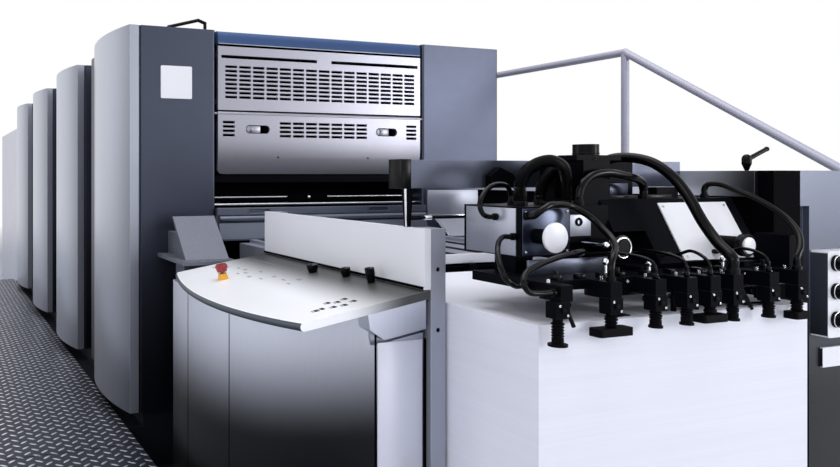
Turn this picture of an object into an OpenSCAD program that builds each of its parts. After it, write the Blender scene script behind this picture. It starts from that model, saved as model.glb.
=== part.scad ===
/* [Printing units] */
// Number of printing units
unit_count = 4; // [2:1:5]
// Spacing of the printing units along the sheet travel
unit_pitch = 1345; // [1320:5:1450]
// Length of one unit's side frames
unit_len = 1120; // [1050:10:1180]
// Height of the housings above the floor
unit_top = 2057; // [2040:1:2100]
// Height of the base under the units
base_h = 300; // [285:5:320]
// Width of the opening between the side frames
opening_w = 1150; // [1140:2:1180]
// Width of the operator-side frame
op_frame_w = 370; // [340:5:400]
// Width of the drive-side frame
drive_frame_w = 485; // [460:5:520]
// Corner radius of the side frames
frame_corner_r = 12; // [6:1:20]

/* [Curved side covers] */
// Length of a cover along the sheet travel
cover_len = 800; // [700:10:900]
// Width of the flat strip at a cover's front edge
cover_flange = 41; // [30:1:50]
// Outward bulge of a cover
cover_bulge = 52; // [30:1:70]
// Groove between a cover's strip and the side frame
cover_groove = 11; // [6:1:16]

/* [Guards] */
// Thickness of the front guards
guard_t = 20; // [16:1:24]
// Gap between a guard and the side frames
guard_gap = 14; // [8:1:18]
// Height of the split between upper and lower guard
guard_split_z = 1680; // [1660:5:1700]
// Gap at the split
guard_split_gap = 6; // [5:1:8]
// Height of the lower guard's bottom edge
guard_bottom_z = 1381; // [1370:1:1390]
// Height of the header band
header_h = 62; // [50:1:70]
// Number of vent columns in the upper guard
vent_columns = 15; // [9:2:15]
// Number of vent rows in the upper guard
vent_rows = 8; // [6:1:8]
// Spacing of the vent columns
vent_pitch_x = 70.7; // [60:0.1:71]
// Spacing of the vent rows
vent_pitch_z = 20.5; // [18:0.5:21]
// Width of one vent slot
vent_w = 60; // [40:1:62]
// Height of one vent slot
vent_h = 12; // [8:1:14]
// Hinge pin diameter of the lower guard
guard_pin_d = 12; // [8:1:14]

/* [Paper pile] */
// Width of the sheets
sheet_w = 980; // [900:5:990]
// Length of the sheets
sheet_l = 930; // [850:5:940]
// Height of the pile
pile_h = 500; // [300:10:600]
// Height of the pile's top above the floor
pile_top_z = 1006; // [980:1:1008]
// Thickness of the pile board
board_t = 50; // [30:1:60]
// Clearance of the pile to the frames beside it
pile_gap = 10; // [8:1:20]

/* [Feeder] */
// Width of the feeder's operator-side posts
post_w = 50; // [40:1:60]
// Depth of those posts
post_d = 80; // [60:1:100]
// Rise of the stanchion from the post's top to the crossbar
stanchion_h = 115; // [100:1:130]
// Thickness of the white side panel
side_panel_t = 20; // [12:1:24]
// Height of the black foot strip under the white side panel
panel_foot = 8; // [6:1:12]
// Distance from the near post's front to the first printing unit
post_reach = 1521; // [1500:1:1540]
// Distance from the side panel's far end to the first printing unit
panel_reach = 400; // [390:1:420]
// Height of the crossbar's tube
bar_h = 84; // [60:1:90]
// Depth of the crossbar's tube
bar_d = 60; // [40:1:70]
// Height of the suction head's underside above the pile
head_lift = 119; // [110:1:130]
// Height of the suction head's body
head_h = 180; // [160:1:200]
// Rise of the crossbar's underside above the head's body
bar_rise = 32; // [25:1:40]

/* [Console] */
// Thickness of the desk top
desk_t = 25; // [18:1:30]
// Slope of the desk top in degrees
desk_slope = 9.4; // [5:0.1:12]
// Depth of the desk at its middle
desk_depth = 499; // [460:1:520]
// Radius of the desk's curved front edge
desk_front_r = 2078; // [1800:1:2400]
// Height of the desk's back edge
desk_back_z = 1048; // [1040:1:1050]
// Radius of the cabinet's curved front
cabinet_front_r = 1800; // [1700:1:1900]

/* [Galleries] */
// Height of the operator-side gallery
gallery_z = 250; // [220:5:260]
// Width of the operator-side gallery
gallery_w = 745; // [600:5:800]
// Height of the drive-side platform
platform_z = 1000; // [900:10:1050]
// Width of the drive-side platform
platform_w = 400; // [350:5:450]
// Number of rises in the drive-side stair
stair_rises = 6; // [5:1:7]
// Depth of one tread of the drive-side stair
stair_run = 271; // [250:1:290]
// Diameter of the handrail tube
rail_d = 38; // [30:1:42]
// Height of the handrail above the platform
rail_h = 1000; // [900:10:1050]

/* [Delivery] */
// Length of the delivery
delivery_len = 2300; // [2000:10:2600]
// Height of the delivery
delivery_h = 1900; // [1800:10:2000]

/* [Hidden] */
$fn = 48;

// Side faces and ends that the pieces share
half_open = opening_w / 2;
op_x = -half_open - op_frame_w;
drive_x = half_open + drive_frame_w;
units_end = (unit_count - 1) * unit_pitch + unit_len;

// Guards between the side frames
guard_w = opening_w - 2 * guard_gap;
header_z = unit_top - header_h;
core_front = 60;
base_front = -60;
core_rear = unit_len - 60;
hinge_z = guard_split_z - guard_split_gap / 2 - guard_t / 2;
hinge_y = guard_t / 2;
pin_clear = 0.3;
pin_reach = 15;
vent_grid_z = header_z - 101;
slot_z = header_z - 60;
slot_h = 15;
slot_inner = 40;
slot_l = guard_w / 2 - slot_inner - 16;
low_vent_rows = 4;
low_vent_z = guard_split_z - 48;
low_vent_x = guard_w / 2 - 54;
low_vent_columns = 7;
grip_x = 358;
grip_z = guard_split_z - 86;
grip_l = 125;
grip_h = 40;
grip_depth = 12;
screw_hole_x = 250;
screw_hole_z = guard_bottom_z + 80;
screw_hole_d = 10;
guard_round = 25;
guard_bow_r = 900;

// Sheet infeed of the first unit
recess_top = 1341;
recess_bottom = 1207;
recess_depth = 320;
rod_d = 12;
sill_y = 25;
sill_gap = 7;
core_drop = 15;

// Feeder: the pile's corner and the frames beside it
pile_x = -420;
pile_rear = -940;
pile_front = pile_rear - sheet_l;
pile_right = pile_x + sheet_w;
post_x = pile_x - pile_gap - post_w;
head_low = pile_top_z + head_lift;
head_top = head_low + head_h;
bar_z = head_top + bar_rise;
bar_top_z = bar_z + bar_h;
bar_y = -1420;
bar_left = post_x - 20;
post_h = bar_z - stanchion_h;
housing_top = bar_top_z - 31;
panel_z = desk_back_z + panel_foot;
rail_x = pile_right + 25;
housing_x = rail_x + 15;
pillar_w = 120;
housing_front = -1750;

// Desk and cabinet below it
desk_back = post_x;
desk_near = -post_reach;
desk_far = -panel_reach;
desk_mid = (desk_near + desk_far) / 2;
cabinet_front_x = -870;
cabinet_back = post_x - 12;
cabinet_near = desk_near + 20;
knob_seat = 1;

// Pile lift behind the pile
column_y = -900;
column_d = 60;
column_w = 80;
column_x = 300;
fork_h = 56;
fork_w = 120;
column_top = pile_top_z - 26;
board_z = pile_top_z - pile_h - board_t;
lift_gap = 8;
shoe_w = 40;

// Suction head over the pile's near edge
head_left = pile_x + 80;
head_right = pile_right;
head_back = bar_y - bar_d / 2;
head_crown = -1660;
head_nose = -1760;
foot_y = pile_front - 35;

module box(x, y, z) {
    translate([x[0], y[0], z[0]]) cube([x[1] - x[0], y[1] - y[0], z[1] - z[0]]);
}

// A plan outline with round vertical corners
module round_plan(w, l, r) {
    translate([r, 0]) square([w - 2 * r, l]);
    translate([0, r]) square([w, l - 2 * r]);
    for (x = [r, w - r], y = [r, l - r]) translate([x, y]) circle(r = r);
}

module round_box(x, y, z, r) {
    translate([x[0], y[0], z[0]])
        linear_extrude(z[1] - z[0]) round_plan(x[1] - x[0], y[1] - y[0], r);
}

// A front outline in X and Z, extruded along Y
module front_extrude(y0, y1) {
    translate([0, y1, 0]) rotate([90, 0, 0]) linear_extrude(y1 - y0) children();
}

// A side outline in Y and Z, extruded along X
module side_extrude(x0, x1) {
    translate([x0, 0, 0]) rotate([90, 0, 90]) linear_extrude(x1 - x0) children();
}

module pill(l, h) {
    translate([-l / 2 + h / 2, -h / 2]) square([l - h, h]);
    for (s = [-1, 1]) translate([s * (l - h) / 2, 0]) circle(d = h);
}

module each_unit(first = 0) {
    for (i = [first : unit_count - 1]) translate([0, i * unit_pitch, 0]) children();
}

// Points along a smooth curve through hand-chosen points; a slope at a point weighs the nearer
// neighbour more, so that the curve doesn't swing past it
function slope_at(a, b, c) = let (s = sqrt(norm(b - a)), t = sqrt(norm(c - b)))
    (b - a) / s - (c - a) / (s + t) + (c - b) / t;
function curve_at(p, i, t) =
    let (b = p[i], c = p[i + 1], w = sqrt(norm(c - b)),
        m = i == 0 ? c - b : w * slope_at(p[i - 1], b, c),
        n = i == len(p) - 2 ? c - b : w * slope_at(b, c, p[i + 2]))
    b + t * m + t * t * (3 * (c - b) - 2 * m - n) + t * t * t * (2 * (b - c) + m + n);
function curve(p, steps) = concat(
    [for (i = [0 : len(p) - 2]) for (k = [0 : steps - 1]) curve_at(p, i, k / steps)],
    [p[len(p) - 1]]);
function unit_vec(v) = v / norm(v);
function tangent(q, i) = unit_vec(q[min(i + 1, len(q) - 1)] - q[max(i - 1, 0)]);
// The ring's first direction is carried along, so that the tube doesn't twist
function carried(q, i) = i == 0
    ? unit_vec(cross(tangent(q, 0), [0.13, 0.92, 0.37]))
    : let (t = tangent(q, i), u = carried(q, i - 1)) unit_vec(u - (u * t) * t);

module tube(points, d, steps = 3, sides = 8, rib = 0) {
    q = curve(points, steps);
    n = len(q);
    rings = [for (i = [0 : n - 1])
        let (t = tangent(q, i), u = carried(q, i), v = cross(t, u), r = d / 2 - (i % 2) * rib)
        for (k = [0 : sides - 1])
            q[i] + r * (cos(360 * k / sides) * u + sin(360 * k / sides) * v)];
    walls = [for (i = [0 : n - 2]) for (k = [0 : sides - 1])
        [i * sides + k, (i + 1) * sides + k,
            (i + 1) * sides + (k + 1) % sides, i * sides + (k + 1) % sides]];
    ends = [[for (k = [0 : sides - 1]) k],
        [for (k = [sides - 1 : -1 : 0]) (n - 1) * sides + k]];
    polyhedron(rings, concat(walls, ends), convexity = 6);
}

// A bent metal tube: straight runs between ball elbows a little wider than the tube. Each ball is
// turned so that its pole lies in the next run
elbow_swell = 1.08;
module pipe_run(points, d) {
    for (i = [0 : len(points) - 2]) {
        v = points[i + 1] - points[i];
        translate(points[i]) rotate([0, acos(v[2] / norm(v)), atan2(v[1], v[0])]) {
            cylinder(d = d, h = norm(v));
            if (i > 0) sphere(d = d * elbow_swell);
        }
    }
}

// Printing units

module base_frame() {
    color("#15171c") {
        box([op_x + 25, drive_x - 25], [20, units_end - 20], [40, base_h]);
        box([op_x + 65, drive_x - 65], [base_front, units_end - 60], [0, 40]);
    }
}

module side_frames() {
    color("#3a4152") each_unit() {
        difference() {
            round_box([op_x, -half_open], [0, unit_len], [base_h, unit_top], frame_corner_r);
            box([op_x - 1, op_x + cover_groove], [-1, cover_groove], [base_h - 1, unit_top + 1]);
            guard_bore(-half_open - pin_reach);
        }
        difference() {
            round_box([half_open, drive_x], [0, unit_len], [base_h, unit_top], frame_corner_r);
            guard_bore(half_open);
        }
    }
}

module guard_bore(x) {
    translate([x - 1, hinge_y, hinge_z]) rotate([0, 90, 0])
        cylinder(d = guard_pin_d + 2 * pin_clear, h = pin_reach + 2);
}

module unit_cores() {
    color("#14161b") each_unit() difference() {
        union() {
            box([-half_open, half_open], [core_front, core_rear], [base_h, unit_top - core_drop]);
            box([-half_open, half_open], [sill_y, core_front],
                [recess_top, guard_bottom_z - sill_gap]);
        }
        box([-half_open - 1, half_open + 1], [core_front - 1, recess_depth],
            [recess_bottom, recess_top]);
    }
}

module side_covers() {
    r = (pow(cover_len / 2, 2) + pow(cover_bulge, 2)) / (2 * cover_bulge);
    outer = op_x - cover_flange - cover_bulge;
    color("#c3c8d2") each_unit() translate([0, 0, base_h]) linear_extrude(unit_top - base_h)
        intersection() {
            translate([outer + r, cover_len / 2]) circle(r = r, $fn = 200);
            translate([outer, 0]) square([cover_flange + cover_bulge, cover_len]);
        }
}

module drive_covers() {
    panel_gap = 12;
    panel_t = 30;
    mid = (base_h + unit_top) / 2;
    color("#aeb4c0") each_unit() for (z = [[base_h + 40, mid], [mid + panel_gap, unit_top - 40]])
        round_box([drive_x, drive_x + panel_t], [40, unit_len - 40], z, 10);
}

module vent_grid(columns, rows, x_mid, z_top) {
    for (c = [0 : columns - 1], r = [0 : rows - 1])
        translate([x_mid + (c - (columns - 1) / 2) * vent_pitch_x, z_top - r * vent_pitch_z])
            square([vent_w, vent_h], center = true);
}

module upper_guards() {
    z0 = guard_split_z + guard_split_gap / 2;
    z1 = header_z - 6;
    color("#d4d8e0") each_unit() {
        front_extrude(0, guard_t) difference() {
            translate([-guard_w / 2, z0]) square([guard_w, z1 - z0]);
            for (s = [-1, 1]) translate([s * (slot_inner + slot_l / 2), slot_z])
                square([slot_l, slot_h], center = true);
            vent_grid(vent_columns, vent_rows, 0, vent_grid_z - vent_h / 2);
        }
        guard_brackets(z0 + 40);
        guard_brackets(z1 - 40);
    }
}

// Short blocks that hold a fixed guard on the core behind it
module guard_brackets(z) {
    for (s = [-1, 1]) translate([s * (guard_w / 2 - 12), (guard_t + core_front) / 2, z])
        cube([20, core_front - guard_t, 20], center = true);
}

module header_bands() {
    lip = 30;
    color("#33558f") each_unit() side_extrude(-guard_w / 2, guard_w / 2) {
        translate([0, header_z]) square([core_front, header_h - lip]);
        translate([lip, header_z]) square([core_front - lip, header_h]);
        translate([lip, header_z + header_h - lip]) circle(r = lip);
    }
}

// The lower guard's plate, its foot bowed back, without hinge or brackets
module lower_guard_plate() {
    z1 = hinge_z;
    bow_z = guard_bottom_z + 150;
    difference() {
        intersection() {
            front_extrude(-1, guard_t + 80) {
                translate([-guard_w / 2, guard_bottom_z + guard_round])
                    square([guard_w, z1 - guard_bottom_z - guard_round]);
                translate([-guard_w / 2 + guard_round, guard_bottom_z])
                    square([guard_w - 2 * guard_round, guard_round + 1]);
                for (s = [-1, 1])
                    translate([s * (guard_w / 2 - guard_round), guard_bottom_z + guard_round])
                        circle(r = guard_round);
            }
            side_extrude(-guard_w / 2 - 1, guard_w / 2 + 1) {
                translate([0, bow_z]) square([guard_t, z1 - bow_z + 1]);
                intersection() {
                    difference() {
                        translate([guard_bow_r, bow_z]) circle(r = guard_bow_r, $fn = 180);
                        translate([guard_bow_r, bow_z])
                            circle(r = guard_bow_r - guard_t, $fn = 180);
                    }
                    translate([0, guard_bottom_z - 1]) square([80, bow_z - guard_bottom_z + 1]);
                }
            }
        }
        front_extrude(-1, guard_t + 80) {
            vent_grid(low_vent_columns, low_vent_rows, 0, low_vent_z - vent_h / 2);
            for (s = [-1, 1])
                vent_grid(1, low_vent_rows, s * low_vent_x, low_vent_z - vent_h / 2);
            for (s = [-1, 1]) translate([s * screw_hole_x, screw_hole_z]) circle(d = screw_hole_d);
        }
        for (s = [-1, 1]) translate([s * grip_x, 0, grip_z])
            front_extrude(-1, grip_depth) pill(grip_l, grip_h);
    }
}

module guard_hinge() {
    translate([-guard_w / 2, hinge_y, hinge_z]) rotate([0, 90, 0])
        cylinder(d = guard_t + 2, h = guard_w);
}

module unit_1_lower_guard() {
    color("#b9bec9") {
        lower_guard_plate();
        guard_hinge();
        translate([-half_open - pin_reach + 1, hinge_y, hinge_z]) rotate([0, 90, 0])
            cylinder(d = guard_pin_d, h = opening_w + 2 * pin_reach - 2);
    }
}

module other_lower_guards() {
    color("#b9bec9") each_unit(1) {
        lower_guard_plate();
        guard_hinge();
        guard_brackets(hinge_z - 60);
    }
}

module rear_panels() {
    split = (base_h + unit_top) / 2;
    color("#4a5160") each_unit() for (z = [[base_h + 60, split - 4], [split + 4, unit_top - 60]])
        box([-half_open + guard_gap, half_open - guard_gap], [core_rear, unit_len], z);
}

module top_pipes() {
    x = [op_x + 160, -half_open - 65, -half_open - 31];
    color("#1a1c22") each_unit() translate([0, core_front, unit_top])
        pipe_run([[x[0], 0, 0], [x[0], 0, 12], [x[1], 0, 52], [x[2], 0, 40], [x[2], 0, 0]], 16);
}

module bare_plate() {
    plate_w = 150;
    x = op_x + 103;
    z = unit_top - 329;
    color("#eef0f4") round_box_front([x, x + plate_w], [-4, 0], [z, z + plate_w], 6);
}

module round_box_front(x, y, z, r) {
    translate([x[0], y[1], z[0]]) rotate([90, 0, 0])
        linear_extrude(y[1] - y[0]) round_plan(x[1] - x[0], z[1] - z[0], r);
}

// Rods and guard of the infeed, with heights measured from the recess's bottom
module infeed_rods() {
    rods = [[90, 61], [40, 28]];
    block_w = 220;
    translate([0, 0, recess_bottom]) {
        color("#b4b8c2") {
            for (p = rods) translate([-half_open, p[0], p[1]]) rotate([0, 90, 0])
                cylinder(d = rod_d, h = opening_w);
            translate([-50, rods[0][0] - 20, rods[0][1]]) sphere(d = 20);
        }
        color("#1b1d23") translate([-50, rods[0][0], rods[0][1]])
            cube([block_w, 24, 26], center = true);
    }
}

module infeed_guard() {
    hole_x = [-362, 292];
    lip_top = 14;
    lip_low = -19;
    foot = -142;
    side_gap = 8;
    color("#5b6272") translate([0, 0, recess_bottom]) {
        difference() {
            box([-half_open, half_open], [-30, 0], [lip_low, lip_top]);
            for (x = hole_x) translate([x, 0, (lip_low + lip_top) / 2])
                front_extrude(-31, -12) pill(115, 18);
        }
        box([-half_open, half_open], [-12, core_front], [foot, lip_low]);
        translate([-half_open + side_gap, -35, -36]) rotate([0, 90, 0])
            cylinder(d = 27, h = opening_w - 2 * side_gap);
        box([-half_open + side_gap, half_open - side_gap], [-35, -12], [-49, -23]);
        side_extrude(-half_open + side_gap / 2, half_open - side_gap / 2)
            polygon([[-12, -56], [-40, -56], [-62, -129], [-62, -136], [-12, -136]]);
    }
}

// Galleries

gallery_start = desk_near - 64;
gallery_end = units_end - 20;
gallery_x1 = op_x - cover_flange - 20;
tread_t = 8;

module gallery_plates() {
    plate_gap = 6;
    pitch = (gallery_end + plate_gap - gallery_start) / (unit_count + 1);
    color("#5d6370") for (i = [0 : unit_count])
        box([gallery_x1 - gallery_w, gallery_x1],
            [gallery_start + i * pitch, gallery_start + (i + 1) * pitch - plate_gap],
            [gallery_z - tread_t, gallery_z]);
}

// The gallery's closed plinth: an edge beam on a skirt that stands back
module gallery_frame() {
    beam_h = 60;
    set_back = 50;
    color("#1c1e24") {
        box([gallery_x1 - gallery_w, gallery_x1], [gallery_start, gallery_end],
            [gallery_z - tread_t - beam_h, gallery_z - tread_t]);
        box([gallery_x1 - gallery_w + set_back, gallery_x1],
            [gallery_start + set_back, gallery_end - set_back], [0, gallery_z - tread_t - beam_h]);
        box([gallery_x1, op_x + 25], [20, gallery_end], [100, gallery_z - 20]);
    }
}

platform_x = drive_x + 60;
platform_near = -450;
stair_rise = platform_z / stair_rises;

module drive_platform() {
    leg = 60;
    x1 = platform_x + platform_w;
    drive_stair();
    color("#5d6370") box([platform_x, x1], [platform_near, units_end], [platform_z - 40, platform_z]);
    color("#2a2e37") for (i = [0 : unit_count]) {
        y = platform_near + i * (units_end - platform_near - leg) / unit_count;
        for (x = [platform_x, x1 - leg]) box([x, x + leg], [y, y + leg], [0, platform_z - 40]);
        if (i > 0) box([drive_x - 25, platform_x], [y - 40, y + leg - 40], [150, 210]);
        if (i > 0) box([platform_x, platform_x + leg], [y - 40, y + 1], [150, 210]);
    }
}

string_t = 12;

module drive_stair() {
    x1 = platform_x + platform_w;
    foot = platform_near - (stair_rises - 1) * stair_run;
    color("#4c525f") {
        for (i = [1 : stair_rises - 1])
            box([platform_x + string_t, x1 - string_t],
                [platform_near - (stair_rises - i) * stair_run,
                    platform_near - (stair_rises - 1 - i) * stair_run],
                [i * stair_rise - 30, i * stair_rise]);
        for (x = [platform_x, x1 - string_t]) side_extrude(x, x + string_t)
            polygon([[foot - 20, 0], [foot + 180, 0], [platform_near, platform_z - 160],
                [platform_near, platform_z], [platform_near - stair_run, platform_z],
                [foot - 20, stair_rise + 10]]);
    }
}

module drive_handrail() {
    x = platform_x + platform_w - string_t - rail_d / 2;
    stair_slope = stair_rise / stair_run;
    foot = platform_near - (stair_rises - 1) * stair_run;
    top = platform_z + rail_h;
    foot_top = top - stair_slope * (platform_near - foot);
    y_post = rail_d / 2;
    color("#8d93a1") {
        pipe_run([[x, foot + y_post, stair_rise], [x, foot + y_post, foot_top],
            [x, platform_near + y_post, top], [x, units_end - y_post, top],
            [x, units_end - y_post, platform_z]], rail_d);
        for (i = [0 : unit_count - 1]) {
            y = platform_near + y_post + i * (units_end - platform_near - rail_d) / unit_count;
            translate([x, y, platform_z]) cylinder(d = rail_d, h = rail_h);
        }
    }
}

// Feeder frames and console

module feeder_side_frame() {
    bolt_hole_d = 14;
    tie_h = 80;
    tie_low = 60;
    far_tie_z = desk_back_z - 68;
    color("#8a90a0") {
        difference() {
            box([post_x, post_x + post_w], [desk_near, desk_near + post_d], [0, post_h]);
            for (z = [post_h - 117, post_h - 291])
                translate([post_x + post_w / 2, desk_near - 1, z]) rotate([-90, 0, 0])
                    cylinder(d = bolt_hole_d, h = 13);
        }
        box([post_x, post_x + post_w], [desk_far - post_d, desk_far], [0, post_h]);
        for (z = [tie_low, desk_back_z - 88])
            box([post_x, post_x + post_w], [desk_near + post_d, desk_far - post_d], [z, z + tie_h]);
        box([post_x, post_x + post_w], [desk_far, 20], [tie_low, tie_low + tie_h]);
        box([post_x, post_x + post_w], [desk_far, -70], [far_tie_z, far_tie_z + tie_h]);
        box([post_x, post_x + post_w], [-130, -70], [tie_low + tie_h, far_tie_z]);
    }
}

module side_panel() {
    color("#e6e8ee") box([post_x - side_panel_t, post_x], [desk_near, desk_far], [panel_z, post_h]);
    color("#17181d") box([post_x - side_panel_t - 4, post_x], [desk_near + 1, desk_far],
        [desk_back_z, panel_z]);
}

module on_desk(x, y, lift = 0) {
    translate([desk_back, 0, desk_back_z]) rotate([0, -desk_slope, 0])
        translate([x, y, lift]) children();
}

module desk_top() {
    nose = desk_t / 2;
    color("#c4c9d2") difference() {
        on_desk(-desk_depth + desk_front_r, desk_mid, -desk_t) intersection() {
            rotate_extrude($fn = 240) {
                translate([desk_front_r - desk_depth, 0])
                    square([desk_depth - nose, desk_t]);
                translate([desk_front_r - nose, nose]) circle(d = desk_t, $fn = 24);
            }
            translate([-desk_front_r, desk_near - desk_mid, 0])
                cube([desk_depth - desk_t * tan(desk_slope), desk_far - desk_near, desk_t]);
        }
        for (k = knob_places) on_desk(k[0], k[1], -desk_t - 1)
            cylinder(d = shaft_d + 2 * pin_clear, h = desk_t + 2);
        on_desk(stop_place[0], stop_place[1], -desk_t - 1)
            cylinder(d = shaft_d + 2 * pin_clear, h = desk_t + 2);
    }
}

shaft_d = 10;
stop_place = [-338, -730];
knob_places = [[-82, -955], [-50, -1130], [-50, -1285]];
knob_sizes = [[40, 26], [34, 28], [30, 46]];
collar_h = 22;

module console_cabinet() {
    centre_y = desk_mid + 396;
    bulge = 42;
    margin = 80;
    recess_l = 200;
    desk_l = desk_far - desk_near;
    color("#8f95a4") difference() {
        linear_extrude(desk_back_z) intersection() {
            translate([cabinet_front_x + cabinet_front_r - bulge, centre_y])
                circle(r = cabinet_front_r, $fn = 240);
            translate([cabinet_front_x - margin, cabinet_near])
                square([cabinet_back - cabinet_front_x + margin, desk_far - cabinet_near]);
        }
        on_desk(-2 * desk_depth, desk_near - margin, -desk_t)
            cube([3 * desk_depth, desk_l + 2 * margin, 8 * desk_t]);
        on_desk(-recess_l, desk_near - margin, -desk_t - bracket_h - 10)
            cube([recess_l + margin, margin + bracket_front + 34, bracket_h + 15]);
    }
    cabinet_bracket();
}

bracket_h = 85;
bracket_l = 210;
bracket_t = 60;
bracket_front = 6;

module cabinet_bracket() {
    intersection() {
        on_desk(-bracket_l, 0, -desk_t - bracket_h)
            front_extrude(desk_near + bracket_front, desk_near + bracket_front + bracket_t)
                polygon([[0, bracket_h], [bracket_l - 12, bracket_h], [bracket_l - 12, 2],
                    [40, 2], [0, 40]]);
        box([post_x - 1.5 * bracket_l, cabinet_back], [desk_near, desk_far], [0, desk_back_z]);
    }
}

// The plate leans on a stand on a ledge, with heights measured from the ledge's top
module leaning_plate() {
    plate_w = 193;
    x = [cabinet_front_x + 44, cabinet_front_x + 44 + plate_w];
    ledge_z = 1020;
    ledge_t = 16;
    stand_h = 100;
    top_y = -130;
    foot_y = -300;
    back_h = 165;
    slope = (top_y - foot_y) / back_h;
    translate([0, 0, ledge_z]) {
        color("#9aa0ae") side_extrude(x[0], x[1])
            polygon([[top_y - 10, back_h + 8], [top_y, back_h + 8], [top_y, back_h],
                [foot_y, 0], [foot_y - 24, 0]]);
        color("#2a2e37") side_extrude(x[0] + 20, x[1] - 20)
            polygon([[0, 0], [0, stand_h], [foot_y + stand_h * slope, stand_h], [foot_y, 0]]);
        color("#c9cdd6") box([x[0] - 30, x[1] + 10], [-392, 0], [-ledge_t, 0]);
        color("#c9cdd6") box([x[0] + 20, x[1] - 20], [-240, -120], [-ledge_z, -ledge_t]);
    }
}

module stop_collar() {
    color("#e8a92c") on_desk(stop_place[0], stop_place[1]) difference() {
        cylinder(d1 = 40, d2 = 30, h = collar_h);
        translate([0, 0, -1]) cylinder(d = shaft_d + 2 * pin_clear, h = collar_h + 2);
    }
}

module stop_button() {
    travel = 6;
    color("#8d1c22") on_desk(stop_place[0], stop_place[1]) {
        translate([0, 0, collar_h + travel]) cylinder(d1 = 36, d2 = 48, h = 20);
        translate([0, 0, collar_h + travel + 20]) cylinder(d1 = 48, d2 = 38, h = 8);
        translate([0, 0, travel + 2 - desk_t]) cylinder(d = shaft_d, h = desk_t + collar_h);
    }
}

module desk_knob(i) {
    d = knob_sizes[i][0];
    h = knob_sizes[i][1];
    color("#17181d") on_desk(knob_places[i][0], knob_places[i][1]) {
        translate([0, 0, knob_seat]) cylinder(d1 = d * 0.75, d2 = d, h = h * 0.6);
        translate([0, 0, knob_seat + h * 0.6]) cylinder(d = d, h = h * 0.4);
        translate([-d / 2, -3, knob_seat + h]) cube([d / 2, 6, 2]);
        translate([0, 0, -desk_t + 2]) cylinder(d = shaft_d, h = desk_t);
    }
}

module knob_front() { desk_knob(0); }
module knob_middle() { desk_knob(1); }
module knob_rear() { desk_knob(2); }

module crossbar() {
    color("#59616f")
        box([bar_left, rail_x], [bar_y - bar_d / 2, bar_y + bar_d / 2], [bar_z, bar_top_z]);
    color("#15161b") box([bar_left - 32, bar_left], [bar_y - bar_d / 2 - 3, bar_y + bar_d / 2 + 3],
        [bar_z, bar_top_z + 1]);
}

module bar_stanchion() {
    color("#1d1f26") translate([post_x - side_panel_t / 2, bar_y, post_h])
        cylinder(d1 = 20, d2 = 34, h = bar_z - post_h);
}

lever_y = -1650;
lever_x = rail_x + 40;

module clamp_lever() {
    grip = [[0, 0, 32], [30, 0, 46], [92, 0, 70]];
    color("#15161b") translate([lever_x, lever_y, housing_top]) {
        translate([0, 0, knob_seat]) cylinder(d1 = 12, d2 = 28, h = 22);
        translate([0, 0, knob_seat + 22]) cylinder(d = 28, h = 16);
        translate([0, 0, 39]) sphere(d = 27);
        pipe_run(grip, 14);
        translate([92, 0, 70]) sphere(d = 16);
        translate([0, 0, -20]) cylinder(d = shaft_d, h = 25);
    }
}

strip_x = housing_x + pillar_w;
strip_w = 42;
strip_h = housing_top - 111;
housing_side = drive_x + 40;

module drive_housing() {
    step_x = housing_x + 5;
    step_z = 1060;
    rail_t = 82;
    rail_front = housing_front + 48;
    color("#7b8292") difference() {
        union() {
            box([strip_x, housing_side], [housing_front, desk_far], [0, housing_top]);
            box([step_x, housing_side], [desk_far, base_front], [0, step_z]);
            box([step_x, drive_x], [base_front - 1, 0], [base_h + 10, step_z]);
        }
        box([strip_x - 1, strip_x + strip_w], [housing_front - 1, housing_front + 20], [-1, strip_h]);
    }
    color("#828a9a") box([rail_x, housing_x], [rail_front, desk_far],
        [housing_top - rail_t, housing_top]);
}

module drive_pillar() {
    color("#101116") difference() {
        box([housing_x, strip_x], [housing_front, desk_far], [0, housing_top]);
        translate([lever_x, lever_y, housing_top - 21])
            cylinder(d = shaft_d + 2 * pin_clear, h = 22);
    }
}

panel_side = housing_side - 158;
box_w = 175;
box_d = 50;
box_bottom = housing_top - 516;

module control_box() {
    color("#e9ebf0") {
        round_box_front([panel_side - box_w, panel_side], [housing_front - box_d, housing_front],
            [box_bottom, box_bottom + 267], 10);
        round_box_front([panel_side - 130, panel_side], [housing_front - 8, housing_front],
            [box_bottom - 104, box_bottom - 42], 4);
    }
}

module control_buttons() {
    color("#121318") for (row = [0 : 2], x = [37, 130])
        translate([panel_side - box_w + x, housing_front - box_d, box_bottom + 56 + 87 * row])
            rotate([90, 0, 0]) {
                cylinder(d = 50, h = 10);
                translate([0, 0, 10]) cylinder(d1 = 42, d2 = 36, h = 14);
            }
}

// Suction head, with heights measured from the underside of its body

module at_head() {
    translate([0, 0, head_low]) children();
}

beam_low = -40;
beam_top = -15;
block_h = 40;
right_block = head_right - 60;
cap_z = head_h + 114;
cap_plate_t = 15;

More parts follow.
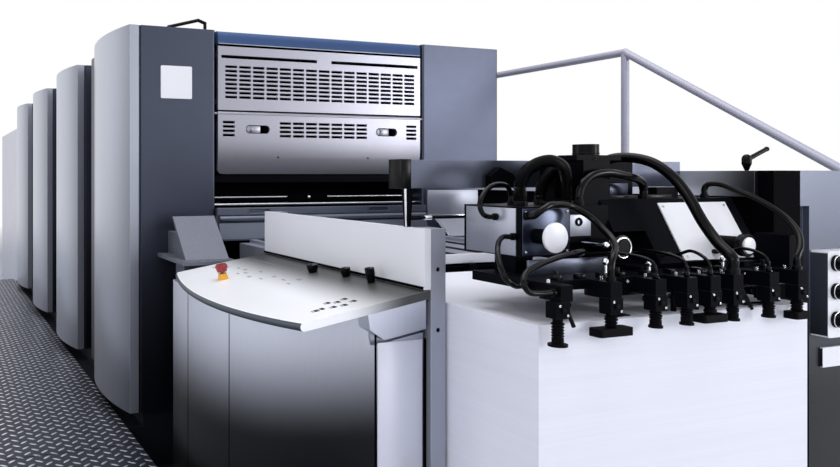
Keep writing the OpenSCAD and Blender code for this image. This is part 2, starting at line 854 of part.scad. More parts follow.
module head_housing() {
    low = 30;
    top = head_h - 15;
    color("#16181e") at_head() {
        difference() {
            side_extrude(0, head_right - 20) polygon([[head_back, 0],
                [head_back, head_h], [head_crown, head_h], [head_nose, 0]]);
            box([-1, 120], [head_crown - 200, head_crown + 30], [-1, head_h / 2]);
        }
        box([head_left, -170], [-1720, head_back - 40], [low, top]);
        box([-170, 0], [-1690, head_back], [low / 2, top]);
        box([-20, 300], [head_back - 60, head_back], [head_h, head_h + bar_rise + bar_h]);
        box([-60, 40], [-1660, -1580], [head_h, cap_z]);
        box([-60, 0], [-1660, -1580], [top, head_h]);
        box([-80, 88], [-1655, -1585], [cap_z, cap_z + cap_plate_t]);
        box([48, 178], [-1600, -1588], [head_h, head_h + 49]);
        box([286, 375], [-1610, -1560], [head_h, head_h + 33]);
        translate([0, 0, head_h + bar_rise]) front_extrude(head_back - 25, head_back)
            polygon([[-229, 0], [-229, 38], [-195, 63], [-146, 42], [-115, 0]]);
        box([right_block, head_right], [-1860, head_nose], [beam_top, head_h / 2 - 12]);
        box([right_block, head_right], [head_nose, -1712], [beam_top, 0]);
        for (k = knob_stems) translate([k[0], k[1], k[2]]) rotate([90, 0, 0])
            cylinder(d = k[3], h = k[4]);
    }
    color("#8b91a0") at_head() box([-165, -75], [-1698, -1690], [head_h / 2 - 10, head_h / 2 + 50]);
}

// Place, diameter and length of each knob's stem, which points to the feeder's near end,
// and the diameter of the white disc on the knob
knob_stems = [[-290, -1720, 87, 40, 50, 78], [-70, -1690, 55, 40, 90, 66],
    [right_block - 124, -1720, 49, 48, 90, 46]];
knob_rim = 8;
knob_t = 16;
disc_t = 6;

module suction_beam() {
    beam_front = -1850;
    beam_back = -1740;
    arm = 60;
    color("#101116") at_head() {
        box([head_left - arm, head_right], [beam_front, beam_back], [beam_low, beam_top]);
        box([head_left - arm, head_left], [beam_back, -1600], [beam_low, beam_top]);
        for (x = [0, right_block - 100])
            box([x, x + arm], [beam_back - arm, -1560], [beam_top, 0]);
        box([head_left, head_left + arm], [-1700, -1620], [beam_top, 30]);
        sucker_units();
    }
    color("#8b91a0") at_head() box([head_left, -60], [beam_back, -1600], [beam_low, beam_top]);
}

module head_plate() {
    lean = atan2(head_crown - head_nose, head_h);
    k = knob_stems[2];
    color("#f2f3f6") at_head() difference() {
        translate([0, head_nose, 0]) rotate([-lean, 0, 0])
            box([right_block - 285, right_block - 3], [-4, 0], [4, 190]);
        translate([k[0], k[1], k[2]]) rotate([90, 0, 0])
            cylinder(d = k[3] + 2 * pin_clear, h = k[4]);
    }
}

module head_knobs() {
    color("#121318") at_head() {
        translate([-10, -1620, cap_z + cap_plate_t]) cylinder(d = 72, h = 32);
        for (k = knob_stems) translate([k[0], k[1] - k[4], k[2]]) rotate([90, 0, 0])
            cylinder(d = k[3] + 2 * knob_rim, h = knob_t);
    }
    color("#f4f5f8") at_head() for (k = knob_stems) translate([k[0], k[1] - k[4] - knob_t, k[2]])
        rotate([90, 0, 0]) cylinder(d = k[5], h = disc_t);
}

// Each hose runs from fitting to fitting, and leaves both in a straight line
big_arc = [[108, -1550, 180], [108, -1550, 232], [114, -1551, 275], [142, -1568, 300],
    [172, -1612, 304], [194, -1670, 288], [210, -1725, 245], [221, -1765, 188],
    [222, -1808, 118], [215, -1855, 66], [205, foot_y, 25], [205, foot_y, -15]];
small_arc = [[-92, -1675, 165], [-92, -1675, 192], [-80, -1675, 222], [-50, -1676, 247],
    [2, -1677, 258], [54, -1675, 254], [106, -1670, 246], [150, -1660, 238],
    [180, -1649, 224], [190, -1645, 206], [190, -1645, 180]];
left_loop = [[head_left, -1700, 85], [-380, -1700, 85], [-450, -1760, 55],
    [-470, -1810, -5], [-440, -1812, -28], [head_left - 60, -1812, -28]];
cross_loop = [[-150, -1690, 35], [-150, -1730, 35], [-190, -1786, 48], [-260, -1818, 48],
    [-340, -1840, 40], [-420, -1866, 28], [-470, -1882, 14], [-492, -1898, -8],
    [-482, foot_y, -28], [-450, foot_y, -33], [head_left - 60, foot_y, -33]];
down_tube = [[-322, -1720, 142], [-322, -1748, 142], [-315, -1763, 155], [-284, -1764, 170],
    [-235, -1752, 173], [-185, -1748, 163], [-150, -1768, 138], [-140, -1798, 110],
    [-148, -1838, 84], [-176, -1874, 62], [-210, -1897, 44], [-225, foot_y, 18],
    [-225, foot_y, -15]];
right_arc = [[450, -1640, 180], [450, -1640, 206], [453, -1648, 221], [464, -1674, 224],
    [482, -1716, 205], [504, -1760, 182], [522, -1806, 148], [526, -1842, 118],
    [512, -1878, 80], [482, -1900, 46], [460, foot_y, 18], [460, foot_y, -15]];
rear_loop = [[-230, -1560, 165], [-230, -1560, 193], [-250, -1567, 218], [-315, -1590, 223],
    [-370, -1612, 200], [-394, -1624, 168], [-388, -1630, 143], [-368, -1630, 135],
    [head_left, -1630, 135]];
ribbed_loop = [[-268, -1640, 165], [-268, -1640, 192], [-270, -1640, 220],
    [-250, -1640, 258], [-208, -1640, 283], [-156, -1640, 291], [-110, -1636, 272],
    [-88, -1628, 238], [-85, -1625, 206], [-85, -1625, 165]];
ribbed_back = [[-112, -1550, 165], [-112, -1550, 195], [-100, -1550, 230],
    [-64, -1550, 264], [-20, -1550, 277], [24, -1550, 266], [52, -1550, 238],
    [60, -1550, 212], [60, -1550, 180]];
fitting_l = 12;
lead_l = 6;

// The hose itself starts and ends at its fittings' faces, with a short straight lead
function lead(from, to, l) = from + l * unit_vec(to - from);
function trimmed(p) = let (n = len(p) - 1) concat(
    [lead(p[0], p[1], fitting_l), lead(p[0], p[1], fitting_l + lead_l)],
    [for (i = [1 : n - 1]) p[i]],
    [lead(p[n], p[n - 1], fitting_l + lead_l), lead(p[n], p[n - 1], fitting_l)]);

module fittings(p, d) {
    n = len(p) - 1;
    for (e = [[p[0], p[1]], [p[n], p[n - 1]]]) {
        v = e[1] - e[0];
        translate(e[0]) rotate([0, acos(v[2] / norm(v)), atan2(v[1], v[0])])
            cylinder(d = d + 6, h = fitting_l);
    }
}

thin_hoses = [left_loop, cross_loop, rear_loop];
medium_hoses = [down_tube, right_arc];
big_d = 30;
small_d = 24;
thin_d = 14;
medium_d = 17;
ribbed_d = 36;
rib = 4;

module smooth_hoses() {
    color("#101116") at_head() {
        tube(trimmed(big_arc), big_d);
        tube(trimmed(small_arc), small_d);
        for (p = thin_hoses) tube(trimmed(p), thin_d);
        for (p = medium_hoses) tube(trimmed(p), medium_d);
    }
}

module ribbed_hoses() {
    color("#101116") at_head() for (p = [ribbed_loop, ribbed_back])
        tube(trimmed(p), ribbed_d, steps = 6, rib = rib);
}

module hose_fittings() {
    color("#2b2d35") at_head() {
        fittings(big_arc, big_d);
        fittings(small_arc, small_d);
        for (p = thin_hoses) fittings(p, thin_d);
        for (p = medium_hoses) fittings(p, medium_d);
        for (p = [ribbed_loop, ribbed_back]) fittings(p, ribbed_d - rib);
    }
}

// Place across, foot width and depth below the pile's top of each sucker, hung in front of the
// pile's near face
suckers = [[head_left - 55, 46, 44], [-225, 110, 30], [-75, 34, 21], [35, 34, 21], [120, 90, 18],
    [205, 34, 21], [345, 34, 21], [head_right - 100, 60, 31]];
foot_h = 20;

module sucker_units() {
    for (s = suckers) {
        x = min(max(head_left - 42, s[0]), head_right - 18);
        foot_top = foot_h - head_lift - s[2];
        box([x - 18, x + 18], [foot_y - 16, -1850], [beam_top - block_h, beam_top]);
        box([s[0] - 20, s[0] + 20], [foot_y - 18, foot_y + 18],
            [beam_top - 2 * block_h, beam_top - block_h]);
        translate([s[0], foot_y, foot_top]) cylinder(d = 24, h = beam_top - 2 * block_h - foot_top);
    }
}

module sucker_feet() {
    color("#0c0d10") for (s = suckers) translate([s[0], foot_y, pile_top_z - s[2]])
        if (s[1] > 50) round_box([-s[1] / 2, s[1] / 2], [-20, 20], [0, foot_h], 8);
        else {
            cylinder(d = s[1], h = 6);
            translate([0, 0, 6]) cylinder(d = 28, h = foot_h - 6);
        }
}

// Feed table, stops and pile lift

table_front = -860;
table_far = -70;
table_x = [post_x + post_w, housing_x - 35];
table_z = 46;
table_rise = 10;

module at_pile_top() {
    translate([0, 0, pile_top_z]) children();
}

module feed_table() {
    board_h = 22;
    rib_h = 20;
    side_w = 30;
    color("#9aa0ae") at_pile_top() side_extrude(table_x[0], table_x[1])
        polygon([[table_front, table_z - board_h], [table_front, table_z],
            [table_far, table_z + table_rise], [table_far, table_z - 17],
            [-130, table_z - board_h - rib_h], [table_front + 60, table_z - board_h - rib_h]]);
    color("#c9cdd6") at_pile_top() for (x = [table_x[0], table_x[1] - side_w])
        box([x, x + side_w], [table_front - 40, table_far], [table_z - 7, table_z + 23]);
}

module feed_tapes() {
    tape_w = 40;
    first = table_x[0] + 130;
    last = table_x[1] - 115;
    slope = atan2(table_rise, table_far - table_front);
    color("#23262e") at_pile_top() for (i = [0 : 5])
        translate([first + i * (last - first) / 5, table_front + 10, table_z + 0.2])
            rotate([slope, 0, 0]) cube([tape_w, table_far - table_front - 40, 2]);
}

module sheet_stops() {
    stop_w = 30;
    bar_y0 = pile_rear + 40;
    bar_y1 = bar_y0 + 20;
    color("#17181d") at_pile_top() box([pile_x, pile_right - 5], [bar_y0, bar_y1], [-21, 14]);
    color("#b4b8c2") at_pile_top() for (x = [pile_x + 90, 130, pile_right - 90])
        box([x, x + stop_w], [pile_rear + pile_gap, bar_y1], [-26, 26]);
    color("#b4b8c2") at_pile_top() box([table_x[0], table_x[1]], [bar_y1, table_front], [12, 34]);
}

module lift_columns() {
    brace_y = [column_y + column_d, column_y + column_d + 40];
    color("#2a2e37") {
        for (x = [-column_x, column_x])
            box([x - column_w / 2, x + column_w / 2], [column_y, column_y + column_d], [0, column_top]);
        for (z = [column_top - 80, 20])
            box([post_x + post_w, housing_x], brace_y, [z, z + 80]);
    }
    lift_chains();
}

// Each chain is one closed loop on the column's rear face
module lift_chains() {
    chain_t = 8;
    loop_w = 40;
    link = 12;
    loop_l = column_top - 280;
    color("#6d727e") for (x = [-column_x, column_x])
        front_extrude(column_y + column_d, column_y + column_d + link) translate([x, column_top / 2 + 10])
            rotate(90) difference() {
                pill(loop_l, loop_w);
                pill(loop_l - 2 * chain_t, loop_w - 2 * chain_t);
            }
}

module pile_board() {
    frame_top = board_z + 60;
    color("#8b6f4a") box([pile_x, pile_right], [pile_front, pile_rear], [board_z, board_z + board_t]);
    color("#3a3f4b") {
        for (x = [-column_x, column_x])
            box([x - fork_w / 2, x + fork_w / 2], [pile_front + 60, pile_rear + pile_gap],
                [board_z - fork_h, board_z]);
        box([pile_x + 20, pile_right - 20], [pile_rear + pile_gap, column_y - lift_gap],
            [board_z - fork_h, frame_top]);
        for (x = [-column_x, column_x])
            box([x - shoe_w / 2, x + shoe_w / 2], [column_y - lift_gap, column_y - pin_clear],
                [board_z - fork_h, frame_top]);
    }
}

module paper_pile() {
    color("#f1f1f6") box([pile_x, pile_right], [pile_front, pile_rear],
        [pile_top_z - pile_h, pile_top_z]);
}

// Delivery

delivery_y = units_end + 60;
delivery_end = delivery_y + delivery_len;
delivery_open_w = sheet_w + 60;
delivery_open_l = sheet_l + 120;
delivery_open_h = 1250;
delivery_stack = [delivery_end - sheet_l - 60, delivery_end - 60];

module delivery_housing() {
    link_h = 1400;
    block_w = 400;
    color("#454c5c") difference() {
        round_box([op_x, drive_x], [delivery_y, delivery_end], [0, delivery_h], 40);
        box([-delivery_open_w / 2, delivery_open_w / 2], [delivery_end - delivery_open_l, delivery_end + 1],
            [-1, delivery_open_h]);
    }
    color("#15171c") {
        box([op_x + 65, drive_x - 65], [units_end, delivery_y], [0, link_h]);
        box([-block_w / 2, block_w / 2], [delivery_end - delivery_open_l - 1, delivery_stack[0]],
            [0, board_t]);
    }
}

module delivery_hood() {
    hood_h = 90;
    color("#c3c8d2") side_extrude(-half_open, half_open)
        polygon([[delivery_y + 200, delivery_h], [delivery_y + 330, delivery_h + hood_h],
            [delivery_end - 330, delivery_h + hood_h], [delivery_end - 60, delivery_h]]);
}

module delivery_board() {
    color("#8b6f4a") box([-sheet_w / 2, sheet_w / 2], delivery_stack, [0, board_t]);
}

module delivery_pile() {
    color("#f1f1f6") box([-sheet_w / 2, sheet_w / 2], delivery_stack, [board_t, board_t + pile_h]);
}

base_frame();
side_frames();
unit_cores();
side_covers();
drive_covers();
upper_guards();
header_bands();
unit_1_lower_guard();
other_lower_guards();
rear_panels();
top_pipes();
bare_plate();
infeed_rods();
infeed_guard();
gallery_plates();
gallery_frame();
drive_platform();
drive_handrail();
feeder_side_frame();
side_panel();
desk_top();
console_cabinet();
leaning_plate();
stop_collar();
stop_button();
knob_front();
knob_middle();
knob_rear();
crossbar();
bar_stanchion();
clamp_lever();
drive_housing();
drive_pillar();
control_box();
control_buttons();
head_housing();
suction_beam();
head_plate();
head_knobs();
smooth_hoses();
ribbed_hoses();
hose_fittings();
sucker_feet();
feed_table();
feed_tapes();
sheet_stops();
lift_columns();
pile_board();
paper_pile();
delivery_housing();
delivery_hood();
delivery_board();
delivery_pile();
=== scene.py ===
import math

import bmesh
import bpy
from mathutils import Matrix, Vector


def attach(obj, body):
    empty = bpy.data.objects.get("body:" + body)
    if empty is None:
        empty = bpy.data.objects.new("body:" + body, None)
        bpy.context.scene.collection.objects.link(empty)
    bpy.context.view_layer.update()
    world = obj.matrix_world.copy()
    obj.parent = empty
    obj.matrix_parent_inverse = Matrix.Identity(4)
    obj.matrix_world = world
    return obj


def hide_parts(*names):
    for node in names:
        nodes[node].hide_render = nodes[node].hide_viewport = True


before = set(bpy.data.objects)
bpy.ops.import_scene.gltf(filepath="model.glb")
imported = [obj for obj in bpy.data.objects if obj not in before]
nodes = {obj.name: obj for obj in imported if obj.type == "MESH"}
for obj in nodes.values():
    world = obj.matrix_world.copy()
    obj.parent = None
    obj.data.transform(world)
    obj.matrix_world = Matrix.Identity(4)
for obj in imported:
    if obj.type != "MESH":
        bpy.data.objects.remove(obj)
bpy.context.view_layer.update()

scene = bpy.context.scene
mm = 0.001
up, forward, away = (0, 0, 1), (0, -1, 0), (0, 1, 0)

view = {"place": (-1.81, -3.347, 1.376), "turn": 20.0, "lens": 32.57, "sensor": 36, "shift": (0.2476, -0.0696),
        "reach": 200}


def makeCamera():
    data = bpy.data.cameras.new("pressCamera")
    data.lens = view["lens"]
    data.sensor_width = view["sensor"]
    data.shift_x, data.shift_y = view["shift"]
    data.clip_end = view["reach"]
    camera = bpy.data.objects.new("pressCamera", data)
    camera.location = view["place"]
    camera.rotation_euler = (math.radians(90), 0, math.radians(-view["turn"]))
    scene.collection.objects.link(camera)
    scene.camera = camera


def meshObject(name, bm):
    bmesh.ops.recalc_face_normals(bm, faces=bm.faces)
    mesh = bpy.data.meshes.new(name)
    bm.to_mesh(mesh)
    bm.free()
    piece = bpy.data.objects.new(name, mesh)
    scene.collection.objects.link(piece)
    return piece


studio = {
    "lamps": [
        # name, place, aim, size, power
        ("keySoftbox", (-5.5, -6.0, 4.2), (-0.5, -0.6, 1.0), 3.0, 112),
        ("pileSoftbox", (2.2, -7.0, 2.6), (0.1, -1.6, 0.9), 2.6, 14),
        ("frameSoftbox", (6.0, -7.0, 2.5), (0.7, 0.0, 1.7), 2.2, 230),
        ("lowSoftbox", (1.2, -6.6, 0.8), (-0.8, 0.0, 1.1), 1.4, 12),
        ("topSoftbox", (-0.3, -1.0, 6.2), (-0.2, -0.8, 1.0), 4.6, 235),
        ("sideSoftbox", (-7.0, 2.5, 2.6), (-1.0, 2.4, 1.0), 2.6, 60),
        ("backSoftbox", (5.5, 8.5, 4.5), (0.5, 3.0, 1.0), 4.0, 80),
    ],
    "worldColor": (0.90, 0.93, 1.0), "worldLight": 0.42,
    "floorColor": (0.86, 0.88, 0.92), "floorSize": 60, "floorDrop": 0.002,
    # the floor turns white between these distances from its middle, which is drawn out along the press
    "floorFade": (4.2, 8.5), "floorMiddle": (0, -1.5, 0), "floorSpread": (1.0, 0.55, 1.0),
}
white = (1, 1, 1)


def addShown(tree):
    # 1 for the rays that show the background: the camera's, and those off metal and through glass
    path = tree.nodes.new("ShaderNodeLightPath")
    seen = path.outputs["Is Camera Ray"]
    for ray in ("Is Glossy Ray", "Is Transmission Ray"):
        seen = mathNode(tree, "MAXIMUM", seen, path.outputs[ray])
    return seen


def makeLamps():
    for name, place, aim, size, power in studio["lamps"]:
        data = bpy.data.lights.new(name, "AREA")
        data.shape = "SQUARE"
        data.size = size
        data.energy = power
        lamp = bpy.data.objects.new(name, data)
        lamp.location = place
        lamp.rotation_euler = (Vector(aim) - Vector(place)).to_track_quat("-Z", "Y").to_euler()
        scene.collection.objects.link(lamp)


def makeWorld():
    world = bpy.data.worlds.new("studioWorld")
    scene.world = world
    world.use_nodes = True
    tree = world.node_tree
    tree.nodes.clear()
    plain = addNode(tree, "Background", {"Color": studio["worldColor"], "Strength": studio["worldLight"]})
    shown = addNode(tree, "Background", {"Color": white, "Strength": 1.0})
    mixed = addNode(tree, "MixShader", {0: addShown(tree), 1: plain.outputs[0], 2: shown.outputs[0]})
    addNode(tree, "OutputWorld", {"Surface": mixed.outputs[0]})


def makeFloor():
    bm = bmesh.new()
    bmesh.ops.create_grid(bm, x_segments=1, y_segments=1, size=studio["floorSize"])
    floor = meshObject("studioFloor", bm)
    floor.data.transform(Matrix.Translation((0, 0, -studio["floorDrop"])))
    material = bpy.data.materials.new("paleFloor")
    material.use_nodes = True
    tree = material.node_tree
    tree.nodes.clear()
    soft = addNode(tree, "BsdfDiffuse", {"Color": studio["floorColor"]})
    glow = addNode(tree, "Emission", {"Color": white})
    coords = tree.nodes.new("ShaderNodeTexCoord").outputs["Object"]
    spread = mapNode(tree, coords, studio["floorSpread"], studio["floorMiddle"])
    far = addNode(tree, "VectorMath", {0: spread}, operation="LENGTH").outputs["Value"]
    faded = mathNode(tree, "MULTIPLY", addShown(tree), rangeNode(tree, far, *studio["floorFade"]))
    mixed = addNode(tree, "MixShader", {0: faded, 1: soft.outputs[0], 2: glow.outputs[0]})
    addNode(tree, "OutputMaterial", {"Surface": mixed.outputs[0]})
    floor.data.materials.append(material)


def newGroup(name, ins, outs):
    group = bpy.data.node_groups.new(name, "ShaderNodeTree")
    for label, kind, value in ins:
        socket = group.interface.new_socket(name=label, in_out="INPUT", socket_type=kind)
        socket.default_value = value
    for label, kind in outs:
        group.interface.new_socket(name=label, in_out="OUTPUT", socket_type=kind)
    return group, group.nodes.new("NodeGroupInput"), group.nodes.new("NodeGroupOutput")


def addNode(tree, kind, inputs, **settings):
    # Each input gets a number, a vector or colour, or a link from another node's output
    node = tree.nodes.new("ShaderNode" + kind)
    for name, value in settings.items():
        setattr(node, name, value)
    for key, value in inputs.items():
        socket = node.inputs[key]
        if isinstance(value, (int, float)):
            socket.default_value = value
        elif isinstance(value, tuple):
            socket.default_value = (*value, 1)[:len(socket.default_value)]
        else:
            tree.links.new(value, socket)
    return node


def mathNode(tree, operation, a, b=None):
    return addNode(tree, "Math", {0: a} if b is None else {0: a, 1: b}, operation=operation).outputs[0]


def noiseNode(tree, vector, scale, detail=4.0, roughness=0.55):
    inputs = {"Vector": vector, "Scale": scale, "Detail": detail, "Roughness": roughness}
    return addNode(tree, "TexNoise", inputs).outputs["Fac"]


def mapNode(tree, vector, scale, shift=(0, 0, 0), turn=0.0):
    inputs = {"Vector": vector, "Scale": scale, "Location": shift, "Rotation": (0, 0, math.radians(turn))}
    return addNode(tree, "Mapping", inputs).outputs[0]


def rangeNode(tree, value, low, high, toLow=0.0, toHigh=1.0, kind="LINEAR"):
    inputs = {"Value": value, "From Min": low, "From Max": high, "To Min": toLow, "To Max": toHigh}
    return addNode(tree, "MapRange", inputs, interpolation_type=kind).outputs[0]


def dotNode(tree, a, b):
    return addNode(tree, "VectorMath", {0: a, 1: b}, operation="DOT_PRODUCT").outputs["Value"]


def mixColor(tree, factor, a, b, blend="MIX"):
    # 6 and 7 are the node's two colours, and output 2 the mixed one
    return addNode(tree, "Mix", {0: factor, 6: a, 7: b}, data_type="RGBA", blend_type=blend).outputs[2]


def addBump(tree, shader, height, distance, strength=1.0, **normal):
    bump = addNode(tree, "Bump", {"Strength": strength, "Distance": distance, "Height": height, **normal})
    tree.links.new(bump.outputs[0], shader.inputs["Normal"])


# how far the rounded normal turns from the flat one, as a cosine, where the edge mask starts and where it is full
edgeSpan = (0.995, 0.80)
handled = {"broad": (5.0, 0.6), "fineSize": 7.0, "fineDetail": 3.0, "span": (0.3, 0.7)}
grains = {"fine": (3.0, 0.6), "coarseSize": 0.25, "coarseDetail": 2.0, "fineShare": 0.7, "coarseShare": 0.3,
          "streaks": (0.35, 0.65)}


def makeSoftEdge():
    # The rounded look of an edge, and a mask that is 1 on it
    group, start, end = newGroup("softEdge", [("Radius", "NodeSocketFloat", 0.002)],
                                 [("Normal", "NodeSocketVector"), ("Edge", "NodeSocketFloat")])
    bevel = group.nodes.new("ShaderNodeBevel")
    bevel.samples = 4
    group.links.new(start.outputs["Radius"], bevel.inputs["Radius"])
    flat = group.nodes.new("ShaderNodeNewGeometry").outputs["Normal"]
    bent = dotNode(group, bevel.outputs[0], flat)
    group.links.new(bevel.outputs[0], end.inputs["Normal"])
    group.links.new(rangeNode(group, bent, *edgeSpan), end.inputs["Edge"])
    return group


def makeSoil():
    # Slow changes of tone and gloss over a surface, as handling and oil mist leave them
    group, start, end = newGroup("handledSurface", [("Vector", "NodeSocketVector", (0, 0, 0)),
                                                    ("Size", "NodeSocketFloat", 3.0),
                                                    ("Amount", "NodeSocketFloat", 0.06)],
                                 [("Tone", "NodeSocketFloat"), ("Gloss", "NodeSocketFloat")])
    broad = noiseNode(group, start.outputs["Vector"], start.outputs["Size"], *handled["broad"])
    low = mathNode(group, "SUBTRACT", 1.0, start.outputs["Amount"])
    fineSize = mathNode(group, "MULTIPLY", start.outputs["Size"], handled["fineSize"])
    fine = noiseNode(group, start.outputs["Vector"], fineSize, handled["fineDetail"])
    group.links.new(rangeNode(group, broad, *handled["span"], low, 1.0), end.inputs["Tone"])
    group.links.new(rangeNode(group, fine, *handled["span"], -1.0, 1.0), end.inputs["Gloss"])
    return group


def makeGrain():
    # Grain height: fine all round for structured paint, or drawn out along an axis for brushed sheet
    group, start, end = newGroup("surfaceGrain", [("Vector", "NodeSocketVector", (0, 0, 0)),
                                                  ("Stretch", "NodeSocketVector", (1, 1, 1)),
                                                  ("Size", "NodeSocketFloat", 600.0)],
                                 [("Height", "NodeSocketFloat"), ("Streak", "NodeSocketFloat")])
    drawn = addNode(group, "VectorMath", {0: start.outputs["Vector"], 1: start.outputs["Stretch"]},
                    operation="MULTIPLY").outputs[0]
    fine = noiseNode(group, drawn, start.outputs["Size"], *grains["fine"])
    coarseSize = mathNode(group, "MULTIPLY", start.outputs["Size"], grains["coarseSize"])
    coarse = noiseNode(group, drawn, coarseSize, grains["coarseDetail"])
    both = mathNode(group, "ADD", mathNode(group, "MULTIPLY", fine, grains["fineShare"]),
                    mathNode(group, "MULTIPLY", coarse, grains["coarseShare"]))
    group.links.new(both, end.inputs["Height"])
    group.links.new(rangeNode(group, fine, *grains["streaks"]), end.inputs["Streak"])
    return group


groups = {"softEdge": makeSoftEdge(), "handledSurface": makeSoil(), "surfaceGrain": makeGrain()}
print("shader groups made")


def placeGroup(tree, name, **inputs):
    return addNode(tree, "Group", inputs, node_tree=groups[name]).outputs


def newMaterial(name):
    material = bpy.data.materials.new(name)
    material.use_nodes = True
    tree = material.node_tree
    return material, tree, tree.nodes["Principled BSDF"], tree.nodes.new("ShaderNodeTexCoord").outputs["Object"]


